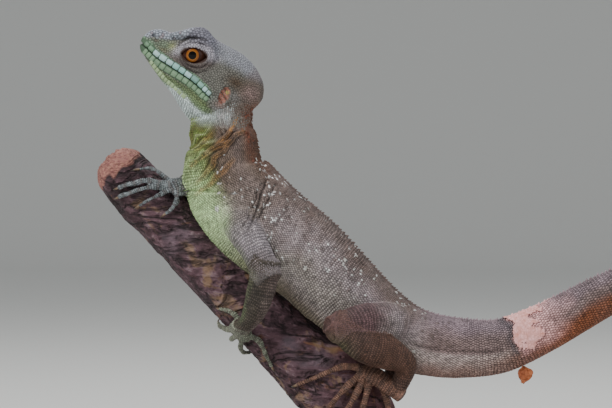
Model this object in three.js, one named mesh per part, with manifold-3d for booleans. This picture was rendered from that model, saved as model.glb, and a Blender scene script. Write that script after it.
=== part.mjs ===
// A green basilisk gripping a short cut branch, life size, held by a plain display stand.
// Millimetres, +Z up. The origin is on the underside of the stand's base, straight below the rod.
// The animal looks towards -X and shows its left side towards -Y. Its mirror plane is Y = 0 as far as the hips.

import * as THREE from "three";
import { mergeVertices } from "three/addons/utils/BufferGeometryUtils.js";
import Module from "manifold-3d";

const wasm = await Module();
wasm.setup();

// Driving dimensions

const GAP = 0.3; // left between nodes that touch
const ACROSS = new THREE.Vector3(0, 1, 0); // from the animal's left to its right
const LEFT = -1;
const RIGHT = 1;

const BASE_LENGTH = 230;
const BASE_WIDTH = 130;
const BASE_THICKNESS = 10;
const BASE_CORNER = 18;
const BASE_BEVEL = 1.5;
const BASE_SHIFT = 16; // the base reaches further under the tail than under the head
const ROD_RADIUS = 4;
const ROD_TOP = 72; // inside the branch, which cuts the rod to a saddle
const COLLAR_RADIUS = 9;
const COLLAR_HEIGHT = 5;

const BRANCH_TOP = new THREE.Vector3(-91, 5, 172.1); // centre of the upper cut end
const BRANCH_SLOPE = 46.7; // degrees below level, towards the tail
const BRANCH_LENGTH = 172;
const BRANCH_STUB = 4.5; // the upper end bulges past the cut by this, where the bark has torn back

const SNOUT = new THREE.Vector3(-80.7, 0, 221.2);
const HEAD_PITCH = 27; // degrees that the snout points up
const EYE_PLACE = [20.1, 5.6, 4.8]; // behind the snout, to the side, and up, in the head's frame
const EYE_RADII = [5.7, 4.0, 5.4];
const LID_THICKNESS = 0.9;

const SPINE_SPACING = 4.2;
const SPINE_THICKNESS = 1.1;

// The head's sections, from the snout to the back of the crest, in the head's own frame:
// along the head, the level of its widest line, the top, the bottom, the half width, and how full
// the section is above and below that line, where 1 is an ellipse and more is a roof or a keel.
const HEAD_SECTIONS = {
  noseTip: [-0.9, 0.6, 4.9, -2.9, 3.1, 0.9, 0.9],
  nostril: [3.6, -0.6, 7.4, -5.2, 4.4, 0.85, 0.9],
  cheekFront: [9.6, -1.8, 9.1, -8.4, 5.9, 0.85, 0.9],
  browFront: [14.2, -2.2, 13.4, -10.8, 7.4, 0.75, 0.95],
  brow: [19.2, -2.4, 15.8, -13.0, 8.9, 0.7, 1.0],
  temple: [25.0, -2.8, 13.9, -16.6, 10.3, 0.95, 1.05],
  jawAngle: [31.2, -3.4, 13.5, -19.2, 11.3, 1.25, 1.05],
  ear: [37.6, -3.8, 13.0, -18.0, 11.3, 1.45, 1.0],
  crest: [43.6, -2.0, 10.8, -13.0, 9.3, 1.6, 1.0],
  crestBack: [48.6, 0.4, 7.2, -6.5, 6.0, 1.6, 1.0],
  crestTip: [51.6, 1.2, 3.6, -2.0, 3.0, 1.4, 1.0],
};

// The body's sections from the skull to the tip of the tail: the place of the middle, half the
// depth, half the width, and the fullness of the back and of the belly.
const BODY_SECTIONS = {
  skull: [-46.4, 0, 200.5, 9.4, 8.0, 1.2, 1.0],
  throat: [-49.9, 0, 188.8, 12.3, 9.3, 1.2, 1.05],
  neck: [-49.3, 0, 180.0, 13.5, 9.9, 1.15, 1.05],
  neckBase: [-49.1, 0, 170.5, 16.5, 11.4, 1.15, 1.0],
  shoulder: [-44.4, 0, 161.0, 18.4, 13.1, 1.15, 0.95],
  chest: [-37.5, 0, 152.6, 18.9, 13.7, 1.15, 0.95],
  ribs: [-26.9, 0, 144.1, 18.3, 13.9, 1.15, 0.95],
  belly: [-16.1, 0, 136.0, 17.4, 14.1, 1.15, 0.95],
  loin: [-2.3, 0, 122.6, 16.2, 13.0, 1.15, 0.95],
  pelvis: [9.6, 0, 113.0, 14.3, 11.6, 1.1, 1.0],
  vent: [20.7, 0, 106.1, 12.9, 10.2, 1.1, 1.0],
  tailRoot: [32.0, 0, 102.8, 12.1, 9.7, 1.1, 1.0],
  tailThick: [43.7, 0, 101.6, 11.5, 9.2, 1.1, 1.0],
  tailBend: [58.5, 0, 102.4, 10.4, 8.2, 1.1, 1.0],
  tailRise: [74.1, 0, 108.7, 9.4, 7.2, 1.1, 1.0],
  tailSlope: [87.8, 0.5, 116.0, 8.8, 6.6, 1.1, 1.0],
  tailShoulder: [102.6, 1.2, 123.8, 8.1, 6.0, 1.1, 1.0],
  tailUpper: [121.0, 3, 131.6, 7.1, 5.2, 1.1, 1.0],
  tailCrown: [143.0, 6, 136.0, 6.2, 4.5, 1.1, 1.0],
  tailOver: [166.0, 10, 134.6, 5.4, 3.9, 1.05, 1.0],
  tailFall: [189.0, 16, 126.2, 4.7, 3.4, 1.0, 1.0],
  tailDrop: [211.0, 23, 112.6, 4.0, 2.9, 1.0, 1.0],
  tailLow: [233.0, 31, 97.0, 3.4, 2.5, 1.0, 1.0],
  tailThin: [256.0, 39, 83.0, 2.8, 2.1, 1.0, 1.0],
  whipStart: [280.0, 47, 72.6, 2.2, 1.75, 1.0, 1.0],
  whip: [305.0, 55, 66.4, 1.75, 1.4, 1.0, 1.0],
  whipEnd: [329.0, 62, 64.2, 1.25, 1.05, 1.0, 1.0],
  tip: [350.0, 67, 66.0, 0.5, 0.45, 1.0, 1.0],
};
const BODY_NAMES = Object.keys(BODY_SECTIONS);

// Each limb from the body outwards: the place of the bone, half the depth and half the width.
const ARM_SECTIONS = {
  left: [
    [-45.5, -5.0, 156.0, 7.2, 6.4],
    [-42.4, -10.5, 150.4, 7.2, 6.4],
    [-37.3, -16.5, 142.2, 6.3, 5.6],
    [-32.6, -20.5, 132.8, 5.6, 5.2],
    [-34.9, -20.0, 122.6, 5.4, 5.0],
    [-38.6, -15.5, 113.6, 3.8, 3.6],
  ],
  right: [
    [-45.5, 5.0, 156.0, 7.2, 6.4],
    [-44.0, 11.5, 154.2, 6.8, 6.2],
    [-43.6, 19.0, 154.0, 5.9, 5.4],
    [-46.4, 25.0, 156.4, 5.2, 5.0],
    [-55.0, 19.0, 161.6, 4.8, 4.6],
    [-64.0, 8.5, 166.6, 3.6, 3.5],
  ],
};
const LEG_SECTIONS = {
  left: [
    [19.0, -5.0, 110.0, 8.6, 6.0],
    [13.0, -11.0, 112.4, 7.8, 7.0],
    [4.4, -17.5, 113.6, 6.6, 6.8],
    [-4.2, -21.0, 111.4, 5.6, 5.8],
    [4.4, -20.0, 104.6, 6.6, 5.8],
    [13.6, -17.0, 101.4, 6.9, 5.4],
    [20.8, -13.5, 96.4, 4.4, 4.0],
  ],
  right: [
    [19.0, 5.0, 110.0, 8.6, 6.0],
    [13.0, 11.0, 112.4, 7.8, 7.0],
    [4.8, 18.5, 113.8, 6.6, 6.8],
    [-3.4, 24.0, 111.6, 5.6, 5.8],
    [4.6, 24.5, 104.8, 6.6, 5.8],
    [13.2, 23.5, 100.6, 6.9, 5.4],
    [20.0, 21.5, 95.4, 4.4, 4.0],
  ],
};
const ELBOW = 3; // the section where the limb folds
const KNEE = 3;

// Each hand and foot on the branch. A place is given as millimetres down the branch, degrees round
// it from its top edge towards -Y, and the height of the bone above the bark.
const GRIPS = {
  hand_left: {
    palm: [
      [78.0, 112, 5.6, 3.3, 4.0],
      [79.2, 122, 3.3, 2.7, 5.2],
      [80.2, 138, 2.4, 2.1, 5.0],
    ],
    digits: [
      [[77.6, 116], [73.4, 112], [69.8, 118], [67.4, 130]],
      [[78.0, 128], [75.2, 146], [72.6, 166], [71.2, 184]],
      [[79.8, 134], [79.4, 156], [79.6, 180], [80.4, 202]],
      [[81.8, 133], [84.0, 155], [86.4, 178], [88.4, 200]],
      [[82.2, 120], [86.8, 112], [92.2, 120], [98.0, 131]],
    ],
    thickness: 1.35,
  },
  hand_right: {
    palm: [
      [24.6, 8, 4.8, 3.0, 3.5],
      [22.6, 26, 3.2, 2.6, 4.3],
      [19.8, 46, 2.3, 2.1, 4.2],
    ],
    digits: [
      [[21.0, 32], [13.6, 34], [9.2, 42], [6.6, 60]],
      [[20.2, 38], [13.4, 60], [9.4, 84], [6.6, 112]],
      [[20.6, 40], [14.6, 72], [11.2, 100], [9.2, 124]],
      [[21.4, 40], [19.6, 66], [18.0, 88], [17.2, 106]],
      [[22.6, 34], [25.6, 52], [26.6, 68], [26.4, 82]],
    ],
    thickness: 1.35,
  },
  foot_left: {
    palm: [
      [137.4, 36, 8.6, 3.2, 3.6],
      [130.6, 37, 5.2, 3.0, 4.4],
      [121.4, 40, 3.2, 2.4, 4.6],
    ],
    digits: [
      [[126.0, 36], [129.0, 50], [132.4, 66], [134.6, 80]],
      [[124.4, 42], [127.0, 62], [129.0, 84], [129.6, 104]],
      [[123.0, 44], [122.6, 66], [123.4, 92], [124.4, 118]],
      [[121.4, 40], [116.0, 52], [112.6, 80], [109.2, 118]],
      [[132.0, 34], [138.4, 38], [143.6, 48], [147.2, 62]],
    ],
    thickness: 1.55,
  },
  foot_right: {
    palm: [
      [136.0, -38, 8.4, 3.4, 3.6],
      [129.6, -42, 5.0, 3.0, 4.4],
      [121.4, -46, 3.0, 2.3, 4.6],
    ],
    digits: [
      [[125.0, -40], [116.0, -38], [110.0, -44], [106.0, -56]],
      [[124.0, -44], [114.0, -52], [107.0, -66], [102.0, -84]],
      [[124.0, -48], [116.6, -66], [110.6, -90], [106.6, -114]],
      [[124.6, -50], [121.6, -76], [119.0, -104], [116.6, -134]],
      [[130.0, -44], [134.6, -60], [138.8, -76], [141.4, -92]],
    ],
    thickness: 1.55,
  },
};
const DIGIT_LIFTS = [2.6, 2.3, 1.9, 1.2]; // how high the bone runs above the bark, root to tip
const CLAW_LENGTH = 2.6;

// Solids

function solidOf(geometry) {
  const bare = geometry.clone();
  bare.deleteAttribute("normal");
  bare.deleteAttribute("uv");
  const merged = mergeVertices(bare, 1e-4);
  const mesh = new wasm.Mesh({
    numProp: 3,
    vertProperties: new Float32Array(merged.attributes.position.array),
    triVerts: new Uint32Array(merged.index.array),
  });
  return new wasm.Manifold(mesh);
}

// The largest closed surface of a solid, which drops loose scraps and fills sealed hollows.
function largest(solid) {
  const bodies = solid.decompose();
  return bodies.reduce((best, body) => (body.volume() > best.volume() ? body : best));
}

const join = (solids) => solids.reduce((all, one) => all.add(one));
const cut = (solid, ...tools) => tools.reduce((left, tool) => left.subtract(tool), solid);

// Parts a solid at a plane, with half the gap taken from each side.
function split(solid, place, normal) {
  const n = normal.clone().normalize();
  const offset = n.dot(place);
  return {
    before: solid.trimByPlane([-n.x, -n.y, -n.z], -offset + GAP / 2),
    after: solid.trimByPlane([n.x, n.y, n.z], offset + GAP / 2),
  };
}

// Forms wrapped round a line

const splineOf = (values) =>
  new THREE.SplineCurve(values.map((value, index) => new THREE.Vector2(index, value)));

// A line of sections: at any share of it, where the middle is and how far the surface reaches.
class Track {
  constructor(sections, sideAt = () => ACROSS, heading = null) {
    this.heading = heading; // a fixed direction, for sections that all stand parallel
    const places = sections.map((section) => new THREE.Vector3(...section.at));
    this.line = new THREE.CatmullRomCurve3(places, false, "catmullrom", 0.5);
    this.sideAt = sideAt;
    this.count = sections.length;
    this.sizes = {};
    for (const name of ["up", "down", "wide", "roof", "keel"]) {
      this.sizes[name] = splineOf(sections.map((section) => section[name]));
    }
  }

  size(name, share) {
    return this.sizes[name].getPoint(share).y;
  }

  frame(share) {
    const centre = this.line.getPoint(share);
    const along = this.heading ?? this.line.getTangent(share);
    const side = this.sideAt(centre).clone();
    side.addScaledVector(along, -side.dot(along)).normalize();
    const dorsal = new THREE.Vector3().crossVectors(along, side);
    return { centre, along, side, dorsal };
  }

  // A place on the surface. The angle is 0 at the back and turns towards +side.
  surface(share, angle, grow = 0, radial = 1) {
    const { centre, side, dorsal } = this.frame(share);
    const above = Math.cos(angle) > 0;
    const sine = Math.sin(angle);
    const reach = (above ? this.size("up", share) : this.size("down", share)) + grow;
    const fullness = above ? this.size("roof", share) : this.size("keel", share);
    const half = this.size("wide", share) + grow;
    const lateral = Math.sign(sine) * Math.abs(sine) ** fullness * half * radial;
    return centre
      .addScaledVector(side, lateral)
      .addScaledVector(dorsal, Math.cos(angle) * reach * radial);
  }

  // The share of the line where a station stands, by its number.
  station(index) {
    return index / (this.count - 1);
  }
}

const dome = (distance, depth) =>
  distance < depth ? Math.sqrt(1 - (1 - distance / depth) ** 2) : 1;

// A closed form from one share of a track to another, with flat ends or with domes of given depths.
function wrap(track, { around, along, from = 0, to = 1, grow = 0, domes = null }) {
  const form = domes
    ? new THREE.SphereGeometry(1, around, along)
    : new THREE.CylinderGeometry(1, 1, 2, around, along);
  const place = form.attributes.position;
  const length = track.line.getLength() * (to - from);
  for (let i = 0; i < place.count; i += 1) {
    const share = (1 - place.getY(i)) / 2;
    const angle = Math.atan2(place.getX(i), place.getZ(i));
    const radial = domes
      ? dome(share * length, domes[0]) * dome((1 - share) * length, domes[1])
      : Math.min(1, Math.hypot(place.getX(i), place.getZ(i)));
    const at = from + (to - from) * share;
    const point = track.surface(at, angle, grow, radial);
    place.setXYZ(i, point.x, point.y, point.z);
  }
  return solidOf(form);
}

// A plain limb, digit, rim or fold: round sections with their own half depths and half widths.
const roundTrack = (places, sideAt) =>
  new Track(
    places.map(([x, y, z, deep, wide = deep]) => ({
      at: [x, y, z],
      up: deep,
      down: deep,
      wide,
      roof: 1,
      keel: 1,
    })),
    sideAt,
  );

// Branch

const branchAlong = new THREE.Vector3(1, 0, 0).applyAxisAngle(
  ACROSS,
  THREE.MathUtils.degToRad(BRANCH_SLOPE),
);
const branchUp = new THREE.Vector3().crossVectors(branchAlong, ACROSS);
const BRANCH_RADII = [10.6, 11.4, 11.6, 11.6, 12.2, 13.4, 13.0, 12.4];
const branchTaper = splineOf(BRANCH_RADII);
// Swellings of the bark: down the branch, degrees round, height, and reach along and round.
const BRANCH_KNOTS = [
  [104, 355, 3.4, 21, 55],
  [126, 10, 6.6, 15, 50],
  [14, 150, 1.2, 9, 40],
  [52, 95, 0.9, 10, 35],
  [96, 60, 0.8, 12, 45],
  [60, 250, 1.6, 12, 50],
  [150, 200, 1.5, 16, 60],
  [32, 330, 1.0, 10, 40],
];

function branchRadius(down, degrees) {
  const share = THREE.MathUtils.clamp(down / BRANCH_LENGTH, 0, 1);
  const knots = BRANCH_KNOTS.map(([at, turn, height, reach, spread]) => {
    const round = THREE.MathUtils.euclideanModulo(degrees - turn + 180, 360) - 180;
    return height * Math.exp(-(((down - at) / reach) ** 2) - (round / spread) ** 2);
  });
  return knots.reduce((sum, knot) => sum + knot, branchTaper.getPoint(share).y);
}

function branchPoint(down, degrees, lift = 0) {
  const turn = THREE.MathUtils.degToRad(degrees);
  const out = branchUp
    .clone()
    .multiplyScalar(Math.cos(turn))
    .addScaledVector(ACROSS, -Math.sin(turn));
  return BRANCH_TOP.clone()
    .addScaledVector(branchAlong, down)
    .addScaledVector(out, branchRadius(down, degrees) + lift);
}

function branchSolid(grow) {
  const form = new THREE.CylinderGeometry(1, 1, 2, 18, 18);
  const place = form.attributes.position;
  for (let i = 0; i < place.count; i += 1) {
    const share = (1 - place.getY(i)) / 2;
    const down = share * (BRANCH_LENGTH + BRANCH_STUB) - BRANCH_STUB;
    const stub = down < 1 ? 0.62 : 1;
    const radial = stub * Math.min(1, Math.hypot(place.getX(i), place.getZ(i)));
    const degrees = THREE.MathUtils.radToDeg(Math.atan2(-place.getX(i), place.getZ(i)));
    const axis = BRANCH_TOP.clone().addScaledVector(branchAlong, down);
    const point = axis.clone().lerp(branchPoint(down, degrees, grow), radial);
    place.setXYZ(i, point.x, point.y, point.z);
  }
  return solidOf(form);
}

const branch = branchSolid(0);
const branchGrown = branchSolid(GAP);

// Head, in its own frame: X runs back from the snout, Z is up

const headTrack = new Track(
  Object.values(HEAD_SECTIONS).map(([back, level, top, bottom, wide, roof, keel]) => ({
    at: [back, 0, level],
    up: top - level,
    down: level - bottom,
    wide,
    roof,
    keel,
  })),
  () => ACROSS,
  new THREE.Vector3(1, 0, 0),
);

function eyeSolid(side, grow) {
  const form = new THREE.SphereGeometry(1, 16, 10);
  form.scale(EYE_RADII[0] + grow, EYE_RADII[1] + grow, EYE_RADII[2] + grow);
  form.translate(EYE_PLACE[0], side * EYE_PLACE[1], EYE_PLACE[2]);
  return solidOf(form);
}

// The almond opening between the lids, as a prism that reaches out of the head.
function lidOpening(side) {
  const half = 5.0;
  const upper = 2.8;
  const lower = 3.1;
  const shape = new THREE.Shape();
  shape.moveTo(-half, 0);
  shape.quadraticCurveTo(0, upper * 2, half, 0);
  shape.quadraticCurveTo(0, -lower * 2, -half, 0);
  const form = new THREE.ExtrudeGeometry(shape, { depth: 8, bevelEnabled: false, curveSegments: 6 });
  form.rotateX(Math.PI / 2);
  form.translate(0, side > 0 ? 15 : -7, 0);
  form.rotateY(THREE.MathUtils.degToRad(-18));
  form.translate(EYE_PLACE[0] + 0.8, 0, EYE_PLACE[2] - 0.8);
  return solidOf(form);
}

// The line of the mouth, from the front of the snout to its corner below the eye.
const MOUTH_LINE = [
  [-4.0, -0.3],
  [0.3, -1.0],
  [8.1, -3.3],
  [16.3, -4.3],
  [25.4, -5.5],
  [34.6, -8.2],
];

function mouthBand(above, below, fromIndex = 0) {
  const line = MOUTH_LINE.slice(fromIndex).map(([back, up]) => new THREE.Vector2(back, up));
  const curve = new THREE.SplineCurve(line).getPoints(6);
  const upper = curve.map((p) => new THREE.Vector2(p.x, p.y + above));
  const lower = curve.map((p) => new THREE.Vector2(p.x, p.y - below)).reverse();
  const form = new THREE.ExtrudeGeometry(new THREE.Shape([...upper, ...lower]), {
    depth: 40,
    bevelEnabled: false,
  });
  form.rotateX(Math.PI / 2);
  form.translate(0, 20, 0);
  return solidOf(form);
}

// The rim of bone over and behind an eye.
function browRim(side) {
  const places = [
    [8.4, 5.0, 6.6, 0.8],
    [12.4, 6.2, 9.0, 1.3],
    [17.0, 7.3, 11.3, 1.8],
    [21.6, 8.1, 11.4, 2.0],
    [25.4, 8.8, 9.0, 1.8],
    [27.2, 9.4, 5.4, 1.4],
    [27.2, 9.9, 2.0, 1.0],
  ];
  const track = roundTrack(places.map(([x, y, z, r]) => [x, side * y, z, r]));
  return wrap(track, { around: 7, along: 9, domes: [1, 1] });
}

function ball([x, y, z], [rx, ry, rz], around = 10, rows = 8) {
  const form = new THREE.SphereGeometry(1, around, rows);
  form.scale(rx, ry, rz);
  form.translate(x, y, z);
  return solidOf(form);
}

function headSolid() {
  const skull = wrap(headTrack, { around: 22, along: 24, domes: [3.2, 3.0] });
  const lips = wrap(headTrack, { around: 22, along: 24, domes: [3.4, 3.0], grow: 0.45 });
  const core = wrap(headTrack, { around: 22, along: 16, domes: [3.0, 3.0], grow: -1.0 });
  const band = lips.intersect(mouthBand(2.5, 2.7));
  const sides = [LEFT, RIGHT];
  const lids = sides.map((side) => eyeSolid(side, LID_THICKNESS));
  const rims = sides.map(browRim);
  const nostrils = sides.map((side) => ball([2.7, side * 4.3, 4.3], [0.75, 0.9, 0.6], 8, 6));
  const ears = sides.map((side) => ball([38.4, side * 11.9, -4.6], [1.9, 1.3, 3.6]));
  const groove = mouthBand(0.25, 0.25).subtract(core);
  const raised = join([skull, band, ...lids, ...rims]);
  const openings = sides.map(lidOpening);
  const sockets = sides.map((side) => eyeSolid(side, GAP));
  return cut(raised, groove, ...nostrils, ...ears, ...openings, ...sockets);
}

const headPlace = new THREE.Matrix4()
  .makeRotationY(THREE.MathUtils.degToRad(HEAD_PITCH))
  .setPosition(SNOUT);
const inPlace = (solid) => solid.transform(headPlace.elements);

// Body

const bodyTrack = new Track(
  Object.values(BODY_SECTIONS).map(([x, y, z, deep, wide, roof, keel]) => ({
    at: [x, y, z],
    up: deep,
    down: deep,
    wide,
    roof,
    keel,
  })),
);
const bodyShare = (name) => bodyTrack.station(BODY_NAMES.indexOf(name));

// Loose skin at the throat: each fold runs up the side of the neck, from share and degrees to share
// and degrees, where 180 degrees is the middle of the throat.
const NECK_FOLDS = [
  [["throat", 0.5], 172, ["throat", -0.1], 118, 1.1],
  [["neck", 0.2], 174, ["throat", 0.4], 96, 1.2],
  [["neckBase", -0.3], 172, ["neck", 0.1], 84, 1.3],
  [["neckBase", 0.3], 168, ["neckBase", 0.1], 92, 1.1],
];

function neckFold([start, startTurn, end, endTurn, radius], side) {
  const step = 1 / (bodyTrack.count - 1);
  const [shareA, shareB] = [start, end].map(([name, offset]) => bodyShare(name) + offset * step);
  const places = [0, 0.35, 0.7, 1].map((part) => {
    const share = THREE.MathUtils.lerp(shareA, shareB, part);
    const turn = THREE.MathUtils.degToRad(THREE.MathUtils.lerp(startTurn, endTurn, part));
    const point = bodyTrack.surface(share, side * turn, -0.3);
    return [point.x, point.y, point.z, radius * (0.55 + 0.9 * part * (1 - part))];
  });
  return wrap(roundTrack(places, () => new THREE.Vector3(1, 0, 0)), {
    around: 6,
    along: 6,
    domes: [1.2, 1.2],
  });
}

// The low crest: small leaning plates along the middle of the back and tail.
function crestPlates(fromShare, toShare, height) {
  const length = bodyTrack.line.getLength() * (toShare - fromShare);
  const count = Math.floor(length / SPINE_SPACING);
  const plates = [];
  for (let i = 0; i < count; i += 1) {
    const share = THREE.MathUtils.lerp(fromShare, toShare, (i + 0.5) / count);
    const tall = height(share) * (i % 2 ? 0.9 : 1.1);
    const form = new THREE.ConeGeometry(1, 1, 4);
    form.rotateY(Math.PI / 4);
    form.translate(0, 0.5, 0);
    form.scale(1.9, tall + 1.2, SPINE_THICKNESS * 0.8);
    form.applyMatrix4(new THREE.Matrix4().makeShear(0, 0, 0.45, 0, 0, 0));
    const { centre, along, side, dorsal } = bodyTrack.frame(share);
    const root = centre.addScaledVector(dorsal, bodyTrack.size("up", share) - 1.2);
    const turn = new THREE.Matrix4().makeBasis(along, dorsal, side.clone().negate());
    form.applyMatrix4(turn.setPosition(root));
    plates.push(solidOf(form));
  }
  return plates;
}

const CREST_ON_BACK = 1.0;
const CREST_ON_TAIL = 1.3;
const crestHeight = (share) =>
  share < bodyShare("vent")
    ? CREST_ON_BACK
    : THREE.MathUtils.mapLinear(share, bodyShare("vent"), bodyShare("tailFall"), CREST_ON_TAIL, 0.6);

function bodyLength(fromName, toName, { around, along, crest = null }) {
  const margin = GAP / 2 / bodyTrack.line.getLength();
  const from = bodyShare(fromName) + (fromName === "skull" ? 0 : margin);
  const to = bodyShare(toName) - (toName === "tip" ? 0 : margin);
  const form = wrap(bodyTrack, { around, along, from, to });
  if (!crest) return form;
  const inset = 2.6 / bodyTrack.line.getLength();
  return join([form, ...crestPlates(Math.max(from, bodyShare(crest)) + inset, to - inset, crestHeight)]);
}

// Limbs, hands and feet

function foldNormal(places, index) {
  const [root, bend, end] = [places[0], places[index], places[places.length - 1]].map(
    ([x, y, z]) => new THREE.Vector3(x, y, z),
  );
  return end.sub(bend).normalize().sub(root.sub(bend).normalize());
}

const placeOf = ([x, y, z]) => new THREE.Vector3(x, y, z);

// The joint between a limb and its hand or foot, which lies halfway between their ends.
function ankleOf(places, grip) {
  const [down, degrees, lift] = grip.palm[0];
  return placeOf(places[places.length - 1]).lerp(branchPoint(down, degrees, lift), 0.5);
}

function palmPlaces(grip) {
  return grip.palm.map(([down, degrees, lift, deep, wide]) => {
    const point = branchPoint(down, degrees, lift);
    return [point.x, point.y, point.z, deep, wide];
  });
}

// The way out of the branch through a place.
function outward(point) {
  const down = point.clone().sub(BRANCH_TOP).dot(branchAlong);
  return point.clone().sub(BRANCH_TOP.clone().addScaledVector(branchAlong, down)).normalize();
}

// One digit with its claw, bent along the bark.
function digitSolid(path, thickness) {
  const bones = path.map(([down, degrees], i) => {
    const point = branchPoint(down, degrees, DIGIT_LIFTS[i]);
    return [point.x, point.y, point.z, thickness * [1.15, 1.0, 0.85, 0.68][i]];
  });
  const last = placeOf(bones[3]);
  const onward = last.clone().sub(placeOf(bones[2])).normalize();
  const inward = outward(last).negate();
  for (const [reach, drop, radius] of [
    [0.55, 0.05, 0.42],
    [1.0, 0.42, 0.12],
  ]) {
    const claw = last
      .clone()
      .addScaledVector(onward, reach * CLAW_LENGTH)
      .addScaledVector(inward, drop * CLAW_LENGTH);
    bones.push([claw.x, claw.y, claw.z, thickness * radius]);
  }
  return wrap(roundTrack(bones, outward), { around: 6, along: 11, domes: [1.0, 0.4] });
}

const torsoGrown = wrap(bodyTrack, {
  around: 20,
  along: 36,
  from: bodyShare("throat"),
  to: bodyShare("tailBend"),
  grow: GAP,
});

// A section moved on past a joint by its own half depth, away from the one before it.
function past([x, y, z, deep, wide], from) {
  const at = new THREE.Vector3(x, y, z);
  at.addScaledVector(at.clone().sub(placeOf(from)).normalize(), deep);
  return [at.x, at.y, at.z, deep, wide];
}

// One limb in three nodes: the part by the body, the part beyond the fold, and the hand or foot.
function limbNodes(places, bend, grip) {
  const ankle = ankleOf(places, grip);
  const palm = palmPlaces(grip);
  const last = places[places.length - 1];
  const near = [...places.slice(0, bend + 1), past(places[bend], places[bend - 1])];
  const far = [past(places[bend], places[bend + 1]), ...places.slice(bend), palm[0]];
  const shapes = { around: 12, along: 13, domes: [4, 4] };
  const upper = split(wrap(roundTrack(near), shapes), placeOf(places[bend]), foldNormal(places, bend));
  const lower = split(wrap(roundTrack(far), shapes), placeOf(places[bend]), foldNormal(places, bend));
  // On the branch the sections stand across it, so their depth is measured along the bark.
  const sections = [past(palm[0], palm[1]), ...palm];
  const across = sections.map(([x, y, z, deep, wide]) => [x, y, z, wide, deep]);
  const sole = wrap(roundTrack(across, outward), { around: 10, along: 9, domes: [2.6, 2.6] });
  const before = placeOf(last).sub(ankle).normalize();
  const beyond = placeOf(palm[0]).sub(ankle).normalize();
  const ankleNormal = beyond.sub(before);
  const parted = split(lower.after, ankle, ankleNormal);
  const digits = grip.digits.map((path) => digitSolid(path, grip.thickness));
  const foot = join([parted.after, split(sole, ankle, ankleNormal).after, ...digits]);
  return {
    upper: cut(upper.before, torsoGrown, branchGrown),
    lower: cut(parted.before, torsoGrown, branchGrown),
    end: cut(foot, torsoGrown, branchGrown),
  };
}

// Stand

function standBase() {
  const halfLength = BASE_LENGTH / 2 - BASE_BEVEL;
  const halfWidth = BASE_WIDTH / 2 - BASE_BEVEL;
  const shape = new THREE.Shape();
  const corners = [
    [halfLength, halfWidth, 0],
    [-halfLength, halfWidth, 90],
    [-halfLength, -halfWidth, 180],
    [halfLength, -halfWidth, 270],
  ];
  for (const [x, y, start] of corners) {
    const centreX = x - Math.sign(x) * BASE_CORNER;
    const centreY = y - Math.sign(y) * BASE_CORNER;
    const first = THREE.MathUtils.degToRad(start);
    shape.absarc(centreX, centreY, BASE_CORNER, first, first + Math.PI / 2, false);
  }
  const form = new THREE.ExtrudeGeometry(shape, {
    depth: BASE_THICKNESS - 2 * BASE_BEVEL,
    bevelThickness: BASE_BEVEL,
    bevelSize: BASE_BEVEL,
    bevelSegments: 1,
    curveSegments: 4,
  });
  form.translate(BASE_SHIFT, 0, BASE_BEVEL);
  return solidOf(form);
}

function standRod() {
  const bottom = BASE_THICKNESS + GAP;
  const profile = [
    [0, bottom],
    [COLLAR_RADIUS, bottom],
    [COLLAR_RADIUS, bottom + COLLAR_HEIGHT * 0.6],
    [ROD_RADIUS + 1, bottom + COLLAR_HEIGHT],
    [ROD_RADIUS, bottom + COLLAR_HEIGHT],
    [ROD_RADIUS, ROD_TOP],
    [0, ROD_TOP],
  ].map(([radius, height]) => new THREE.Vector2(radius, height));
  const form = new THREE.LatheGeometry(profile, 20);
  form.rotateX(Math.PI / 2);
  form.translate(0, BRANCH_TOP.y, 0);
  return largest(cut(solidOf(form), branchGrown));
}

// Parts the neck from the head and gives each its half of what they share.
const NECK_JOINT = new THREE.Vector3(-51.0, 0, 194.6);
const NECK_NORMAL = new THREE.Vector3(-0.12, 0, -1);
const neckForm = bodyLength("skull", "shoulder", { around: 20, along: 10, crest: "throat" });
const folds = [LEFT, RIGHT].flatMap((side) => NECK_FOLDS.map((fold) => neckFold(fold, side)));
const headAndNeck = join([inPlace(headSolid()), neckForm, ...folds]);
const parted = split(headAndNeck, NECK_JOINT, NECK_NORMAL);
const eyes = [LEFT, RIGHT].map((side) => inPlace(eyeSolid(side, 0)));
const eyeSockets = [LEFT, RIGHT].map((side) => inPlace(eyeSolid(side, GAP)));

const arms = { left: null, right: null };
const legs = { left: null, right: null };
for (const side of ["left", "right"]) {
  arms[side] = limbNodes(ARM_SECTIONS[side], ELBOW, GRIPS[`hand_${side}`]);
  legs[side] = limbNodes(LEG_SECTIONS[side], KNEE, GRIPS[`foot_${side}`]);
}

const SKIN = { color: 0x6f6a55, roughness: 0.75, metalness: 0 };
const EYE = { color: 0xa8611c, roughness: 0.15, metalness: 0 };
const BARK = { color: 0x5a3a38, roughness: 0.9, metalness: 0 };
const WOOD = { color: 0x2b2724, roughness: 0.5, metalness: 0 };
const STEEL = { color: 0xb4b6b8, roughness: 0.3, metalness: 1 };

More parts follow.
